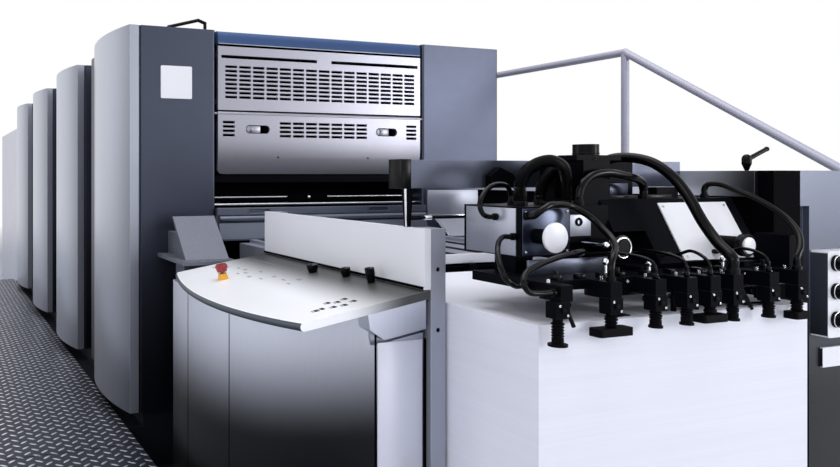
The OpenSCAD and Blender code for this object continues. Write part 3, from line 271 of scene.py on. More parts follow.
finishes = {
    # Colour, roughness and the colour of a worn edge. Then, where they aren't finishMaterial's own values, metallic,
    # shine, change of tone, the grain's size, height and stretch, and painted shade: gradients that darken the
    # colour, each a direction, two places along it in metres, and the tone at the first of them
    "blackBase": dict(color=(0.006, 0.007, 0.011), rough=0.55, edge=(0.06, 0.07, 0.09), shine=0.08, height=0.15),
    # painted shade: darker towards the floor, below 1.35 m
    "darkFrame": dict(color=(0.050, 0.057, 0.086), rough=0.36, edge=(0.22, 0.25, 0.34), metal=0.80, tone=0.10,
                      grain=420, height=0.25, paintedShade=[((0, 0, 1), 0.35, 1.35, 0.16)]),
    "coreBlack": dict(color=(0.0018, 0.002, 0.0035), rough=0.34, edge=(0.035, 0.038, 0.055), shine=0.02, grain=600,
                      height=0.08),
    # painted shade: darker towards the bottom and the front, and where x is above -0.975 m
    "silverCover": dict(color=(0.44, 0.47, 0.56), rough=0.3, edge=(0.75, 0.78, 0.86), metal=0.90, tone=0.03,
                        grain=700, height=0.02,
                        paintedShade=[((0, 0.6, 1), 0.3, 2.0, 0.50), ((-1, 0, 0), 0.975, 1.038, 0.50)]),
    # painted shade: a darker copy of the covers' finish for their front faces, darker still towards the floor
    "shadedCoverFront": dict(color=(0.33, 0.35, 0.42), rough=0.32, edge=(0.70, 0.73, 0.80), metal=0.8, grain=600,
                       height=0.02, paintedShade=[((0, 0, 1), 0.0, 0.5, 0.90)]),
    "guardSilver": dict(color=(0.27, 0.273, 0.325), rough=0.33, edge=(0.78, 0.8, 0.88), metal=0.60, tone=0.05,
                        grain=700),
    # painted shade: a copy of the guard's finish, darker towards the bottom, below 1.62 m
    "lowerGuard": dict(color=(0.27, 0.273, 0.325), rough=0.33, edge=(0.78, 0.80, 0.88), metal=0.60, tone=0.03,
                       grain=700, paintedShade=[((0, 0, 1), 1.34, 1.62, 0.35)]),
    "leaningSteel": dict(color=(0.1, 0.108, 0.14), rough=0.5, edge=(0.60, 0.63, 0.72), metal=0.35, shine=0.3,
                         tone=0.05, grain=400, height=0.05, stretch=(1, 0.05, 1)),
    "headerBlue": dict(color=(0.045, 0.085, 0.2), rough=0.55, edge=(0.2, 0.28, 0.46), shine=0.12, grain=700,
                       height=0.04),
    "plateWhite": dict(color=(0.82, 0.83, 0.89), rough=0.34, edge=(0.95, 0.96, 1.0), tone=0.04, grain=700),
    "brightSteel": dict(color=(0.62, 0.64, 0.70), rough=0.20, edge=(0.9, 0.92, 0.97), metal=1.0, grain=300,
                        height=0.08, stretch=(0.05, 1, 1)),
    "chrome": dict(color=(0.78, 0.80, 0.86), rough=0.10, edge=(0.95, 0.96, 1.0), metal=1.0, tone=0.03, grain=300,
                   height=0.02),
    # painted shade: darker towards the floor, nearly black at the bottom
    "greyPaint": dict(color=(0.13, 0.145, 0.2), rough=0.33, edge=(0.45, 0.49, 0.58), metal=0.60, tone=0.06,
                      height=0.06, paintedShade=[((0, 0, 1), 0.65, 1.30, 0.04)]),
    "barPaint": dict(color=(0.058, 0.065, 0.098), rough=0.30, edge=(0.55, 0.58, 0.68), metal=0.75, tone=0.03),
    # painted shade: darker towards the front, nearly black there
    "railPaint": dict(color=(0.70, 0.73, 0.84), rough=0.36, edge=(0.60, 0.63, 0.72), metal=0.5,
                      paintedShade=[((0, 1, 0), -1.70, -1.42, 0.02)]),
    "lightGrey": dict(color=(0.33, 0.345, 0.42), rough=0.36, edge=(0.72, 0.75, 0.82), metal=0.45, tone=0.04,
                      height=0.04),
    "railGrey": dict(color=(0.36, 0.36, 0.45), rough=0.42, edge=(0.70, 0.71, 0.80), metal=0.1, tone=0.02,
                     height=0.001),
    # painted shade for the dark reflection of the press: darker towards +x
    "brushedDesk": dict(color=(0.93, 0.94, 0.98), rough=0.42, edge=(0.92, 0.94, 0.98), metal=0.25, tone=0.03,
                        grain=340, height=0.04, stretch=(1, 0.03, 1), paintedShade=[((-1, 0, 0), 0.55, 0.78, 0.06)]),
    # painted reflection: the desk's rounded edge painted dark, as the dark floor it faces shows in it
    "deskEdgeDarkReflection": dict(color=(0.050, 0.062, 0.085), rough=0.40, edge=(0.10, 0.12, 0.15), metal=0.5, grain=400),
    "deskPrint": dict(color=(0.12, 0.13, 0.16), rough=0.5, edge=(0.2, 0.2, 0.24), grain=600, height=0.02),
    # painted shade: darker towards the bottom and +x
    "cabinetSteel": dict(color=(0.58, 0.6, 0.7), rough=0.38, edge=(0.80, 0.83, 0.90), metal=0.95, tone=0.05,
                         grain=300, height=0.05, stretch=(1, 1, 0.04), paintedShade=[((-0.60, 0, 1), 1.02, 1.42, 0.03)]),
    "endPanel": dict(color=(0.62, 0.63, 0.73), rough=0.36, edge=(0.80, 0.82, 0.90), metal=0.4, height=0.06),
    "moduleSheen": dict(color=(0.030, 0.037, 0.065), rough=0.24, edge=(0.20, 0.23, 0.33), metal=0.7, height=0.05),
    "stopRed": dict(color=(0.26, 0.010, 0.014), rough=0.25, edge=(0.50, 0.06, 0.06), tone=0.10, grain=300),
    "collarAmber": dict(color=(0.86, 0.42, 0.03), rough=0.30, edge=(0.98, 0.70, 0.20), tone=0.06, grain=300),
    "blackPlastic": dict(color=(0.002, 0.002, 0.003), rough=0.24, edge=(0.03, 0.03, 0.04), shine=0.09, grain=900,
                         height=0.10),
    "blackHose": dict(color=(0.0012, 0.0012, 0.002), rough=0.17, edge=(0.012, 0.012, 0.016), shine=0.12, tone=0.2,
                      height=0.04),
    "softRubber": dict(color=(0.002, 0.002, 0.003), rough=0.52, edge=(0.015, 0.015, 0.02), shine=0.04, grain=700,
                       height=0.15),
    "gapBlack": dict(color=(0.001, 0.001, 0.002), rough=0.7, edge=(0.004, 0.004, 0.006), shine=0.02),
}
wear = {"radius": 0.0018, "edge": 0.35, "gloss": 0.010, "brushed": 0.10, "painted": 0.04, "grainDepth": 0.0006}
evenGrain = (1, 1, 1)


def finishMaterial(name, color, rough, edge, metal=0.0, shine=0.5, tone=0.08, grain=500, height=0.03,
                   stretch=evenGrain, paintedShade=()):
    material, tree, shader, coords = newMaterial(name)
    rounded = placeGroup(tree, "softEdge", Radius=wear["radius"])
    soil = placeGroup(tree, "handledSurface", Vector=coords, Amount=tone)
    texture = placeGroup(tree, "surfaceGrain", Vector=coords, Size=grain, Stretch=stretch)
    toned = mixColor(tree, 1.0, color, soil["Tone"], "MULTIPLY")
    streak = mathNode(tree, "MULTIPLY", texture["Streak"], wear["painted" if stretch == evenGrain else "brushed"])
    shown = mixColor(tree, streak, toned, edge)
    # painted shade: each gradient darkens the colour towards its first place, down to its tone there
    for direction, first, last, shadeTone in paintedShade:
        shadeFactor = rangeNode(tree, dotNode(tree, coords, direction), first, last, shadeTone, 1.0, "SMOOTHSTEP")
        shown = mixColor(tree, 1.0, shown, shadeFactor, "MULTIPLY")
    worn = mixColor(tree, mathNode(tree, "MULTIPLY", rounded["Edge"], wear["edge"]), shown, edge)
    tree.links.new(worn, shader.inputs["Base Color"])
    gloss = mathNode(tree, "ADD", mathNode(tree, "MULTIPLY", soil["Gloss"], wear["gloss"]), rough)
    tree.links.new(gloss, shader.inputs["Roughness"])
    shader.inputs["Metallic"].default_value = metal
    shader.inputs["Specular IOR Level"].default_value = shine
    addBump(tree, shader, texture["Height"], wear["grainDepth"], height, Normal=rounded["Normal"])
    return material


treads = {"pitch": 0.048, "height": 0.0022, "long": 0.46, "wide": 0.15, "ground": (0.030, 0.034, 0.052),
          "worn": (0.78, 0.82, 0.94), "metal": 0.85, "rough": (0.46, 0.26), "soilSize": 4.0, "soil": 0.35}


def treadMaterial():
    # Raised lozenges that lie crosswise in turn, as rolled on tread plate
    material, tree, shader, coords = newMaterial("treadPlate")
    spot = addNode(tree, "SeparateXYZ", {0: mapNode(tree, coords, (1 / treads["pitch"],) * 3, turn=45)}).outputs
    cells = mathNode(tree, "ADD", mathNode(tree, "FLOOR", spot["X"]), mathNode(tree, "FLOOR", spot["Y"]))
    odd = mathNode(tree, "MODULO", mathNode(tree, "ABSOLUTE", cells), 2.0)
    x, y = (mathNode(tree, "SUBTRACT", mathNode(tree, "FRACT", spot[axis]), 0.5) for axis in "XY")

    def lozenge(along, across):
        lengths = [mathNode(tree, "POWER", mathNode(tree, "DIVIDE", way, treads[size]), 2.0)
                   for way, size in ((along, "long"), (across, "wide"))]
        return mathNode(tree, "ADD", *lengths)

    chosen = mathNode(tree, "ADD", mathNode(tree, "MULTIPLY", lozenge(x, y), odd),
                      mathNode(tree, "MULTIPLY", lozenge(y, x), mathNode(tree, "SUBTRACT", 1.0, odd)))
    raised = rangeNode(tree, chosen, 1.0, 0.25)
    soil = placeGroup(tree, "handledSurface", Vector=coords, Size=treads["soilSize"], Amount=treads["soil"])
    ground = mixColor(tree, 1.0, treads["ground"], soil["Tone"], "MULTIPLY")
    tree.links.new(mixColor(tree, raised, ground, treads["worn"]), shader.inputs["Base Color"])
    shader.inputs["Metallic"].default_value = treads["metal"]
    tree.links.new(rangeNode(tree, raised, 0.0, 1.0, *treads["rough"]), shader.inputs["Roughness"])
    addBump(tree, shader, raised, treads["height"])
    return material


stack = {"color": (0.80, 0.81, 0.90), "line": (0.60, 0.62, 0.75), "rough": 0.62, "sheets": (1.5, 1.5, 1 / 0.0006),
         "sheetShade": 0.30, "reams": (0.6, 0.6, 28.0), "reamShade": 0.12, "bump": 0.25, "height": 0.0005}


def paperMaterial():
    # Sheet edges: fine level lines and broader bands on the sides, plain on the top
    material, tree, shader, coords = newMaterial("stackedPaper")
    sheets = noiseNode(tree, mapNode(tree, coords, stack["sheets"]), 1.0, 3.0, 0.6)
    bands = noiseNode(tree, mapNode(tree, coords, stack["reams"]), 1.0, 2.0)
    normal = tree.nodes.new("ShaderNodeNewGeometry").outputs["Normal"]
    level = mathNode(tree, "ABSOLUTE", addNode(tree, "SeparateXYZ", {0: normal}).outputs["Z"])
    side = mathNode(tree, "SUBTRACT", 1.0, level)
    shown = stack["color"]
    for lines, low, high, shade in ((sheets, 0.35, 0.65, stack["sheetShade"]), (bands, 0.4, 0.7, stack["reamShade"])):
        amount = mathNode(tree, "MULTIPLY", rangeNode(tree, lines, low, high, 0.0, shade), side)
        shown = mixColor(tree, amount, shown, stack["line"])
    tree.links.new(shown, shader.inputs["Base Color"])
    shader.inputs["Roughness"].default_value = stack["rough"]
    addBump(tree, shader, mathNode(tree, "MULTIPLY", sheets, side), stack["height"], stack["bump"])
    return material


board = {"grain": (1.6, 26, 26), "dark": (0.20, 0.125, 0.062), "light": (0.40, 0.28, 0.15), "rough": 0.55,
         "bump": 0.3, "height": 0.001}


def boardMaterial():
    material, tree, shader, coords = newMaterial("boardWood")
    grain = noiseNode(tree, mapNode(tree, coords, board["grain"]), 1.0, 6.0, 0.65)
    tree.links.new(mixColor(tree, rangeNode(tree, grain, 0.3, 0.7), board["dark"], board["light"]),
                   shader.inputs["Base Color"])
    shader.inputs["Roughness"].default_value = board["rough"]
    addBump(tree, shader, grain, board["height"], board["bump"])
    return material


materials = {name: finishMaterial(name, **values) for name, values in finishes.items()}
materials |= {"treadPlate": treadMaterial(), "stackedPaper": paperMaterial(), "boardWood": boardMaterial()}

nodesWith = {
    "blackBase": "base_frame gallery_frame lift_columns",
    "darkFrame": "side_frames rear_panels",
    "coreBlack": "unit_cores bar_stanchion head_housing suction_beam sheet_stops",
    "silverCover": "side_covers drive_covers",
    "guardSilver": "upper_guards other_lower_guards",
    "lowerGuard": "unit_1_lower_guard",
    "headerBlue": "header_bands",
    "plateWhite": "bare_plate side_panel control_box head_plate",
    "brightSteel": "infeed_rods",
    "greyPaint": "infeed_guard drive_housing",
    "barPaint": "crossbar",
    "lightGrey": "feeder_side_frame feed_table",
    "railGrey": "drive_handrail",
    "brushedDesk": "desk_top",
    "cabinetSteel": "console_cabinet",
    "leaningSteel": "leaning_plate",
    "endPanel": "delivery_housing delivery_hood",
    "collarAmber": "stop_collar",
    "stopRed": "stop_button",
    "blackPlastic": "top_pipes knob_front knob_middle knob_rear clamp_lever control_buttons head_knobs hose_fittings",
    "blackHose": "smooth_hoses ribbed_hoses",
    "softRubber": "sucker_feet feed_tapes",
    "gapBlack": "drive_pillar",
    "treadPlate": "gallery_plates drive_platform",
    "stackedPaper": "paper_pile delivery_pile",
    "boardWood": "pile_board delivery_board",
}
secondFinishes = {
    # node: the finish, and its faces: the covers' front faces, a darker copy of their finish as painted shade; the
    # desk's rounded edge, a painted dark reflection; the rod's black sleeve, the rail on the feeder's drive side, and
    # painted shade on the control box's side
    "side_covers": ("shadedCoverFront", lambda face: face.normal.y < -0.9),
    "desk_top": ("deskEdgeDarkReflection", lambda face: face.normal.x < -0.35 and face.normal.z < 0.80),
    "infeed_rods": ("gapBlack", lambda face: abs(face.center.x + 0.05) < 0.111 and face.center.y > 0.0775),
    "drive_housing": ("railPaint", lambda face: face.center.x < 0.5995 and face.center.z > 1.2),
    "control_box": ("greyPaint", lambda face: face.normal.x < -0.9),
}


def finishNodes():
    for finish, names in nodesWith.items():
        for name in names.split():
            mesh = nodes[name].data
            mesh.materials.clear()
            mesh.materials.append(materials[finish])
    for name, (finish, chosen) in secondFinishes.items():
        mesh = nodes[name].data
        mesh.materials.append(materials[finish])
        for face in mesh.polygons:
            if chosen(face):
                face.material_index = 1


finishNodes()
print("materials made")
makeCamera()
makeLamps()
makeWorld()
makeFloor()
scene.view_settings.view_transform = "Standard"
print("view and studio made")


def turnTo(axis):
    return Vector(up).rotation_difference(Vector(axis)).to_matrix().to_4x4()


def vertsOf(geom):
    return [g for g in geom if isinstance(g, bmesh.types.BMVert)]


def edgesOf(verts):
    # Each edge once, in the same order each run
    return list(dict.fromkeys(e for v in verts for e in v.link_edges))


def softenEdges(bm, edges, bevel):
    bmesh.ops.bevel(bm, geom=edges, offset=bevel * mm, offset_type="OFFSET", affect="EDGES", segments=2, profile=0.5,
                    material=-1)


def addBlock(bm, low, high, bevel=0.0, turn=None):
    low, high = Vector(low) * mm, Vector(high) * mm
    place = Matrix.Translation((low + high) / 2) @ Matrix.Diagonal((*(high - low), 1))
    made = bmesh.ops.create_cube(bm, size=1, matrix=(turn or Matrix()) @ place)["verts"]
    if bevel:
        softenEdges(bm, edgesOf(made), bevel)


def addRound(bm, start, axis, length, radius, endRadius=None, bevel=0.0, sides=32):
    # A round bar or cone from start along axis, its end edges rounded
    axis = Vector(axis).normalized()
    place = Matrix.Translation(Vector(start) * mm + axis * length * mm / 2) @ turnTo(axis)
    made = bmesh.ops.create_cone(bm, cap_ends=True, segments=sides, radius1=radius * mm,
                                 radius2=(radius if endRadius is None else endRadius) * mm,
                                 depth=length * mm, matrix=place)["verts"]
    if bevel:
        rims = [e for e in edgesOf(made) if any(len(f.verts) > 4 for f in e.link_faces)]
        softenEdges(bm, rims, bevel)


def addRing(bm, centre, axis, radius, thick, sides=32, ringSides=8):
    # A round ring: a small circle spun about the axis
    place = Matrix.Translation(Vector(centre) * mm) @ turnTo(axis)
    aside = Matrix.Translation((radius * mm, 0, 0)) @ Matrix.Rotation(math.pi / 2, 4, "X")
    made = bmesh.ops.create_circle(bm, segments=ringSides, radius=thick * mm / 2, matrix=place @ aside)["verts"]
    bmesh.ops.spin(bm, geom=made + edgesOf(made), cent=place.translation, axis=place.to_3x3() @ Vector(up),
                   dvec=(0, 0, 0), angle=2 * math.pi, steps=sides, use_merge=True, use_duplicate=False)


screw = {"taper": 0.92, "socket": 0.45, "sunk": 0.6}


def addScrew(bm, seat, axis, radius, height, sides=16, turn=None):
    # A round screw head with a sunk socket; the shares are of its radius and height
    axis = Vector(axis).normalized()
    whole = turn or Matrix()
    place = whole @ Matrix.Translation(Vector(seat) * mm + axis * height * mm / 2) @ turnTo(axis)
    made = bmesh.ops.create_cone(bm, cap_ends=True, segments=sides, radius1=radius * mm,
                                 radius2=radius * screw["taper"] * mm, depth=height * mm, matrix=place)["verts"]
    outward = (whole.to_3x3() @ axis).normalized()
    middle = whole @ (Vector(seat) * mm)
    top = max((f for v in made for f in v.link_faces if len(f.verts) > 4),
              key=lambda f: (f.calc_center_median() - middle).dot(outward))
    bmesh.ops.inset_region(bm, faces=[top], thickness=radius * screw["socket"] * mm)
    sunk = bmesh.ops.extrude_face_region(bm, geom=[top])
    bmesh.ops.delete(bm, geom=[top], context="FACES")
    bmesh.ops.translate(bm, verts=vertsOf(sunk["geom"]), vec=-outward * height * screw["sunk"] * mm)


def finishPiece(name, bm, material, ride="frame", smooth=35):
    piece = meshObject(name, bm)
    piece.data.materials.append(materials[material])
    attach(piece, ride)
    for face in piece.data.polygons:
        face.use_smooth = True
    piece.data.set_sharp_from_angle(angle=math.radians(smooth))
    return piece


def makeBlocks(blocks):
    # One piece for each block: lowest and highest corner, bevel, finish
    for name, (low, high, bevel, finish) in blocks.items():
        bm = bmesh.new()
        addBlock(bm, low, high, bevel)
        finishPiece(name, bm, finish)


footY = -1905
hoses = {
    # points in millimetres, diameter, rib depth
    "bigArc": (((108, -1550, 1305), (108, -1550, 1357), (114, -1551, 1400), (142, -1568, 1425), (172, -1612, 1429),
                (194, -1670, 1413), (210, -1725, 1370), (221, -1765, 1313), (222, -1808, 1243), (215, -1855, 1191),
                (205, footY, 1150), (205, footY, 1110)), 30, 0),
    "smallArc": (((-92, -1675, 1290), (-92, -1675, 1317), (-80, -1675, 1347), (-50, -1676, 1372), (2, -1677, 1383),
                  (54, -1675, 1379), (106, -1670, 1371), (150, -1660, 1363), (180, -1649, 1349), (190, -1645, 1331),
                  (190, -1645, 1305)), 24, 0),
    "leftLoop": (((-340, -1700, 1210), (-380, -1700, 1210), (-450, -1760, 1180), (-470, -1810, 1120),
                  (-440, -1812, 1097), (-400, -1812, 1097)), 14, 0),
    "crossLoop": (((-150, -1690, 1160), (-150, -1730, 1160), (-190, -1786, 1173), (-260, -1818, 1173),
                   (-340, -1840, 1165), (-420, -1866, 1153), (-470, -1882, 1139), (-492, -1898, 1117),
                   (-482, footY, 1097), (-450, footY, 1092), (-400, footY, 1092)), 14, 0),
    "downTube": (((-322, -1720, 1267), (-322, -1748, 1267), (-315, -1763, 1280), (-284, -1764, 1295),
                  (-235, -1752, 1298), (-185, -1748, 1288), (-150, -1768, 1263), (-140, -1798, 1235),
                  (-148, -1838, 1209), (-176, -1874, 1187), (-210, -1897, 1169), (-225, footY, 1143),
                  (-225, footY, 1110)), 17, 0),
    "rightArc": (((450, -1640, 1305), (450, -1640, 1331), (453, -1648, 1346), (464, -1674, 1349), (482, -1716, 1330),
                  (504, -1760, 1307), (522, -1806, 1273), (526, -1842, 1243), (512, -1878, 1205), (482, -1900, 1171),
                  (460, footY, 1143), (460, footY, 1110)), 17, 0),
    "rearLoop": (((-230, -1560, 1290), (-230, -1560, 1318), (-250, -1567, 1343), (-315, -1590, 1348),
                  (-370, -1612, 1325), (-394, -1624, 1293), (-388, -1630, 1268), (-368, -1630, 1260),
                  (-340, -1630, 1260)), 14, 0),
    "ribbedLoop": (((-268, -1640, 1290), (-268, -1640, 1317), (-270, -1640, 1345), (-250, -1640, 1383),
                    (-208, -1640, 1408), (-156, -1640, 1416), (-110, -1636, 1397), (-88, -1628, 1363),
                    (-85, -1625, 1331), (-85, -1625, 1290)), 36, 4),
    "ribbedBack": (((-112, -1550, 1290), (-112, -1550, 1320), (-100, -1550, 1355), (-64, -1550, 1389),
                    (-20, -1550, 1402), (24, -1550, 1391), (52, -1550, 1363), (60, -1550, 1337),
                    (60, -1550, 1305)), 36, 4),
}
hoseSteps = {"fitting": 12, "lead": 6, "smooth": 8, "ribPitch": 5.5, "weld": 1e-6}


def hoseSlope(a, b, c):
    s, t = math.sqrt((b - a).length), math.sqrt((c - b).length)
    return (b - a) / s - (c - a) / (s + t) + (c - b) / t


def hosePath(points, ribbed):
    # The curve of the faceted hose in the CAD, with finer steps
    raw = [Vector(p) for p in points]
    first, last = (raw[1] - raw[0]).normalized(), (raw[-2] - raw[-1]).normalized()
    f, lead = hoseSteps["fitting"], hoseSteps["lead"]
    points = [raw[0] + f * first, raw[0] + (f + lead) * first, *raw[1:-1],
              raw[-1] + (f + lead) * last, raw[-1] + f * last]
    path = []
    for i in range(len(points) - 1):
        b, c = points[i], points[i + 1]
        w = math.sqrt((c - b).length)
        m = c - b if i == 0 else w * hoseSlope(points[i - 1], b, c)
        n = c - b if i == len(points) - 2 else w * hoseSlope(b, c, points[i + 2])
        steps = max(2, 2 * round((c - b).length / hoseSteps["ribPitch"])) if ribbed else hoseSteps["smooth"]
        for k in range(steps):
            t = k / steps
            path.append(b + t * m + t * t * (3 * (c - b) - 2 * m - n) + t ** 3 * (2 * (b - c) + m + n))
    return path + [points[-1]]


def hoseMesh(name, points, diameter, rib):
    data = bpy.data.curves.new(name, "CURVE")
    data.dimensions = "3D"
    data.bevel_depth = diameter / 2 * mm
    data.bevel_resolution = 6
    data.use_fill_caps = True
    path = hosePath(points, rib > 0)
    spline = data.splines.new("POLY")
    spline.points.add(len(path) - 1)
    for i, (point, place) in enumerate(zip(spline.points, path)):
        point.co = (*(place * mm), 1)
        point.radius = 1 - (2 * rib / diameter if rib and i % 2 else 0)
    line = bpy.data.objects.new(name, data)
    scene.collection.objects.link(line)
    bpy.context.view_layer.update()
    mesh = bpy.data.meshes.new_from_object(line.evaluated_get(bpy.context.evaluated_depsgraph_get()))
    bpy.data.objects.remove(line)
    return mesh


def makeHoses():
    meshes = {name: (hoseMesh(name, points, diameter, rib), rib > 0)
              for name, (points, diameter, rib) in hoses.items()}
    for name, ribbed in (("smoothHoses", False), ("ribbedHoses", True)):
        bm = bmesh.new()
        for mesh, hasRibs in meshes.values():
            if hasRibs == ribbed:
                bm.from_mesh(mesh)
        bmesh.ops.remove_doubles(bm, verts=bm.verts, dist=hoseSteps["weld"])
        piece = finishPiece(name, bm, "blackHose", smooth=60)
        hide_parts("smooth_hoses" if name == "smoothHoses" else "ribbed_hoses")


makeHoses()
print("hoses made")

desk = {
    # millimetres on the sloping top: x from its upper edge, negative on the way down, y along it, z out of it
    "edge": (-480, 0, 1048), "slope": 9.4, "sunk": -1, "print": 0.35,
    "slot": ((-114, -720), (-102, -466), 0.8, 0.4),
    "marks": [(-279, -483), (-240, -530), (-217, -600), (-217, -660), (-194, -762), (-260, -800), (-246, -879),
              (-203, -895), (-203, -977), (-171, -1028), (-220, -1051), (-240, -720), (-262, -700)],
    "dash": ((-5, -3), (2, 2)), "dashes": 3, "dashPitch": 9, "bar": ((6, -3), (8, 22)),
    "keys": [(-330, -1441), (-308, -1437), (-264, -1392), (-240, -1407), (-209, -1394), (-204, -1438),
             (-275, -1447), (-244, -1455)],
    "key": ((-6, -9), (6, 9)), "keyHeight": 1.2, "keyBevel": 0.8, "keyMark": ((-13, -8), (-10, 8)),
}
deskTurn = Matrix.Translation(Vector(desk["edge"]) * mm) @ Matrix.Rotation(math.radians(-desk["slope"]), 4, "Y")


def addOnDesk(bm, corners, x=0, y=0, height=desk["print"], bevel=0):
    (x0, y0), (x1, y1) = corners
    addBlock(bm, (x + x0, y + y0, desk["sunk"]), (x + x1, y + y1, height), bevel, deskTurn)


def makeDesk():
    bm = bmesh.new()
    low, high, height, bevel = desk["slot"]
    addOnDesk(bm, (low, high), height=height, bevel=bevel)
    for i, (x, y) in enumerate(desk["marks"]):
        for k in range(desk["dashes"]):
            addOnDesk(bm, desk["dash"], x, y + desk["dashPitch"] * k)
        if i % 2:
            addOnDesk(bm, desk["bar"], x, y)
    finishPiece("deskMarks", bm, "deskPrint")
    bm = bmesh.new()
    for x, y in desk["keys"]:
        addOnDesk(bm, desk["key"], x, y, desk["keyHeight"], desk["keyBevel"])
        addOnDesk(bm, desk["keyMark"], x, y)
    finishPiece("deskKeys", bm, "blackPlastic")


makeDesk()
print("desk made")

unitFronts = (0, 1345, 2690, 4035)
bolts = {
    # the body each piece rides, its seats, radius and height of the heads
    "postBolts": ("frame", [(-455, -1510, z) for z in (1105, 931)], 6.5, 7),
    "frontGuardScrews": ("lower_guard", [(x, 8, 1461) for x in (-250, 250)], 4.8, 6),
    "guardScrews": ("frame", [(x, y + 8, 1461) for y in unitFronts[1:] for x in (-250, 250)], 4.8, 6),
}
buttonRings = {"x": (804, 897), "y": -1810.5, "z": (930, 1017, 1104), "radius": 24, "thick": 3}
grips = {
    # the grip's middles and half the length between its round ends, the tab's and the floor's half height, and how
    # deep they lie behind the guard's front
    "x": (-358, 358), "z": 1594, "reach": 42.5, "tab": 17, "tabFront": 2.8, "tabBack": 11.8, "tabThick": 9,
    "tabEnd": 14, "floor": 19.6, "floorFront": 11.2, "floorBack": 12.4, "floorThick": 1.2,
}


def makeBolts():
    for name, (ride, seats, radius, height) in bolts.items():
        bm = bmesh.new()
        for seat in seats:
            addScrew(bm, seat, forward, radius, height, sides=20)
        finishPiece(name, bm, "blackPlastic", ride=ride)


def makeGrips(name, ride, fronts):
    # The bright pull tab in the left part of each sunk grip, and a black sheet on the grip's floor: painted shade in
    # the recess
    tabs, pocketShade = bmesh.new(), bmesh.new()
    reach, z, tab, floor = (grips[key] for key in ("reach", "z", "tab", "floor"))
    for y in fronts:
        for x in grips["x"]:
            addRound(tabs, (x - reach, y + grips["tabBack"], z), forward, grips["tabThick"], tab, bevel=1)
            addBlock(tabs, (x - reach, y + grips["tabFront"], z - tab),
                     (x + grips["tabEnd"], y + grips["tabBack"], z + tab), 1)
            addBlock(pocketShade, (x - reach, y + grips["floorFront"], z - floor),
                     (x + reach, y + grips["floorBack"], z + floor))
            for side in (-reach, reach):
                addRound(pocketShade, (x + side, y + grips["floorBack"], z), forward, grips["floorThick"], floor)
    finishPiece(name, tabs, "guardSilver", ride=ride)
    finishPiece(name + "PocketShade", pocketShade, "gapBlack", ride=ride)


def makeButtonRings():
    bm = bmesh.new()
    for z in buttonRings["z"]:
        for x in buttonRings["x"]:
            addRing(bm, (x, buttonRings["y"], z), away, buttonRings["radius"], buttonRings["thick"])
    finishPiece("buttonRings", bm, "brightSteel")


makeBolts()
makeGrips("frontPullTabs", "lower_guard", unitFronts[:1])
makeGrips("otherPullTabs", "frame", unitFronts[1:])
makeButtonRings()
print("guards and controls made")

knobs = {
    # middle of each knob's front, radius of its white disc, radius of the black rim around it
    "fronts": [((-290, -1786, 1212), 39.8, 28), ((-70, -1796, 1180), 0, 28), ((376, -1826, 1174), 23.8, 31)],
    "thick": 7.5, "rim": 5, "sides": 48,
    # the knob without a white disc: radii of its black face and of the cone on it, and its bright ring
    "clamp": (-70, 1180), "face": (-1796, 7.5, 34), "cone": (-1803, 3, 24, 20), "ring": (-1804, 27, 5),
    # seat, axis and length of the ball knobs' stems
    "stems": [((-122, -1690, 1188), forward, 105), ((-168, -1836, 1110), up, 40), ((-15, -1836, 1110), up, 30),
              ((262, -1836, 1110), up, 32)],
    "stem": 4, "ball": 9,
}
headBlocks = {
    "clampPlate": ((-165, -1701, 1205), (-75, -1690, 1265), 1.5, "lightGrey"),
    "beamStrip": ((-338, -1746, 1109.5), (-62, -1739, 1150), 1, "barPaint"),
}
# painted sheen: thin dark blue metal plates on black fronts of the head
moduleSheenPlates = [((-336, -1723, 1159), (-174, -1719, 1286), 1.5), ((50, -1602.5, 1307), (176, -1599, 1351), 1)]
headParts = {
    "eye": ((-120, -1702, 1245), 9, 7),
    # the dark disc stack on top of the head
    "stack": (-10, -1620, 1438), "stackCount": 5, "stackPitch": 6, "stackDisc": (3, 37.2),
    # small blocks and cones on the beam, by x
    "blockX": (-330, -255, -180, -120, -30, 60, 160, 250, 420, 530), "block": ((-9, -1848, 1108), (9, -1822, 1122)),
    "coneX": (-300, -90, 20, 310, 480), "cone": (-1800, 1109, 20, 9, 7),
    "bars": [((180, -1660, 1304), (290, -1630, 1316), 2), ((40, -1660, 1304), (150, -1630, 1316), 2),
             ((-150, -1600, 1289), (-20, -1582, 1300), 2), ((-205, -1847, 1060), (548, -1800, 1087), 3),
             ((352, -1850, 1002), (452, -1822, 1012), 3), ((-150, -1848, 1000), (-92, -1822, 1009), 3)],
    # stems under the rail below the beam: x and foot, and their collars
    "stems": [(-300, 1024), (-160, 1024), (-20, 1024), (75, 1004), (160, 1004), (300, 1024), (400, 1024)],
    "stemY": -1835, "stem": (70, 7, 9), "collarZ": 1040, "collar": (12, 13),
    # small levers that hang forward: start and axis
    "levers": [((-352, -1868, 1086), (24, -22, -88)), ((300, -1850, 1086), (30, -22, -88)),
               ((500, -1860, 1086), (-14, -22, -88))],
    "lever": (92, 5),
}
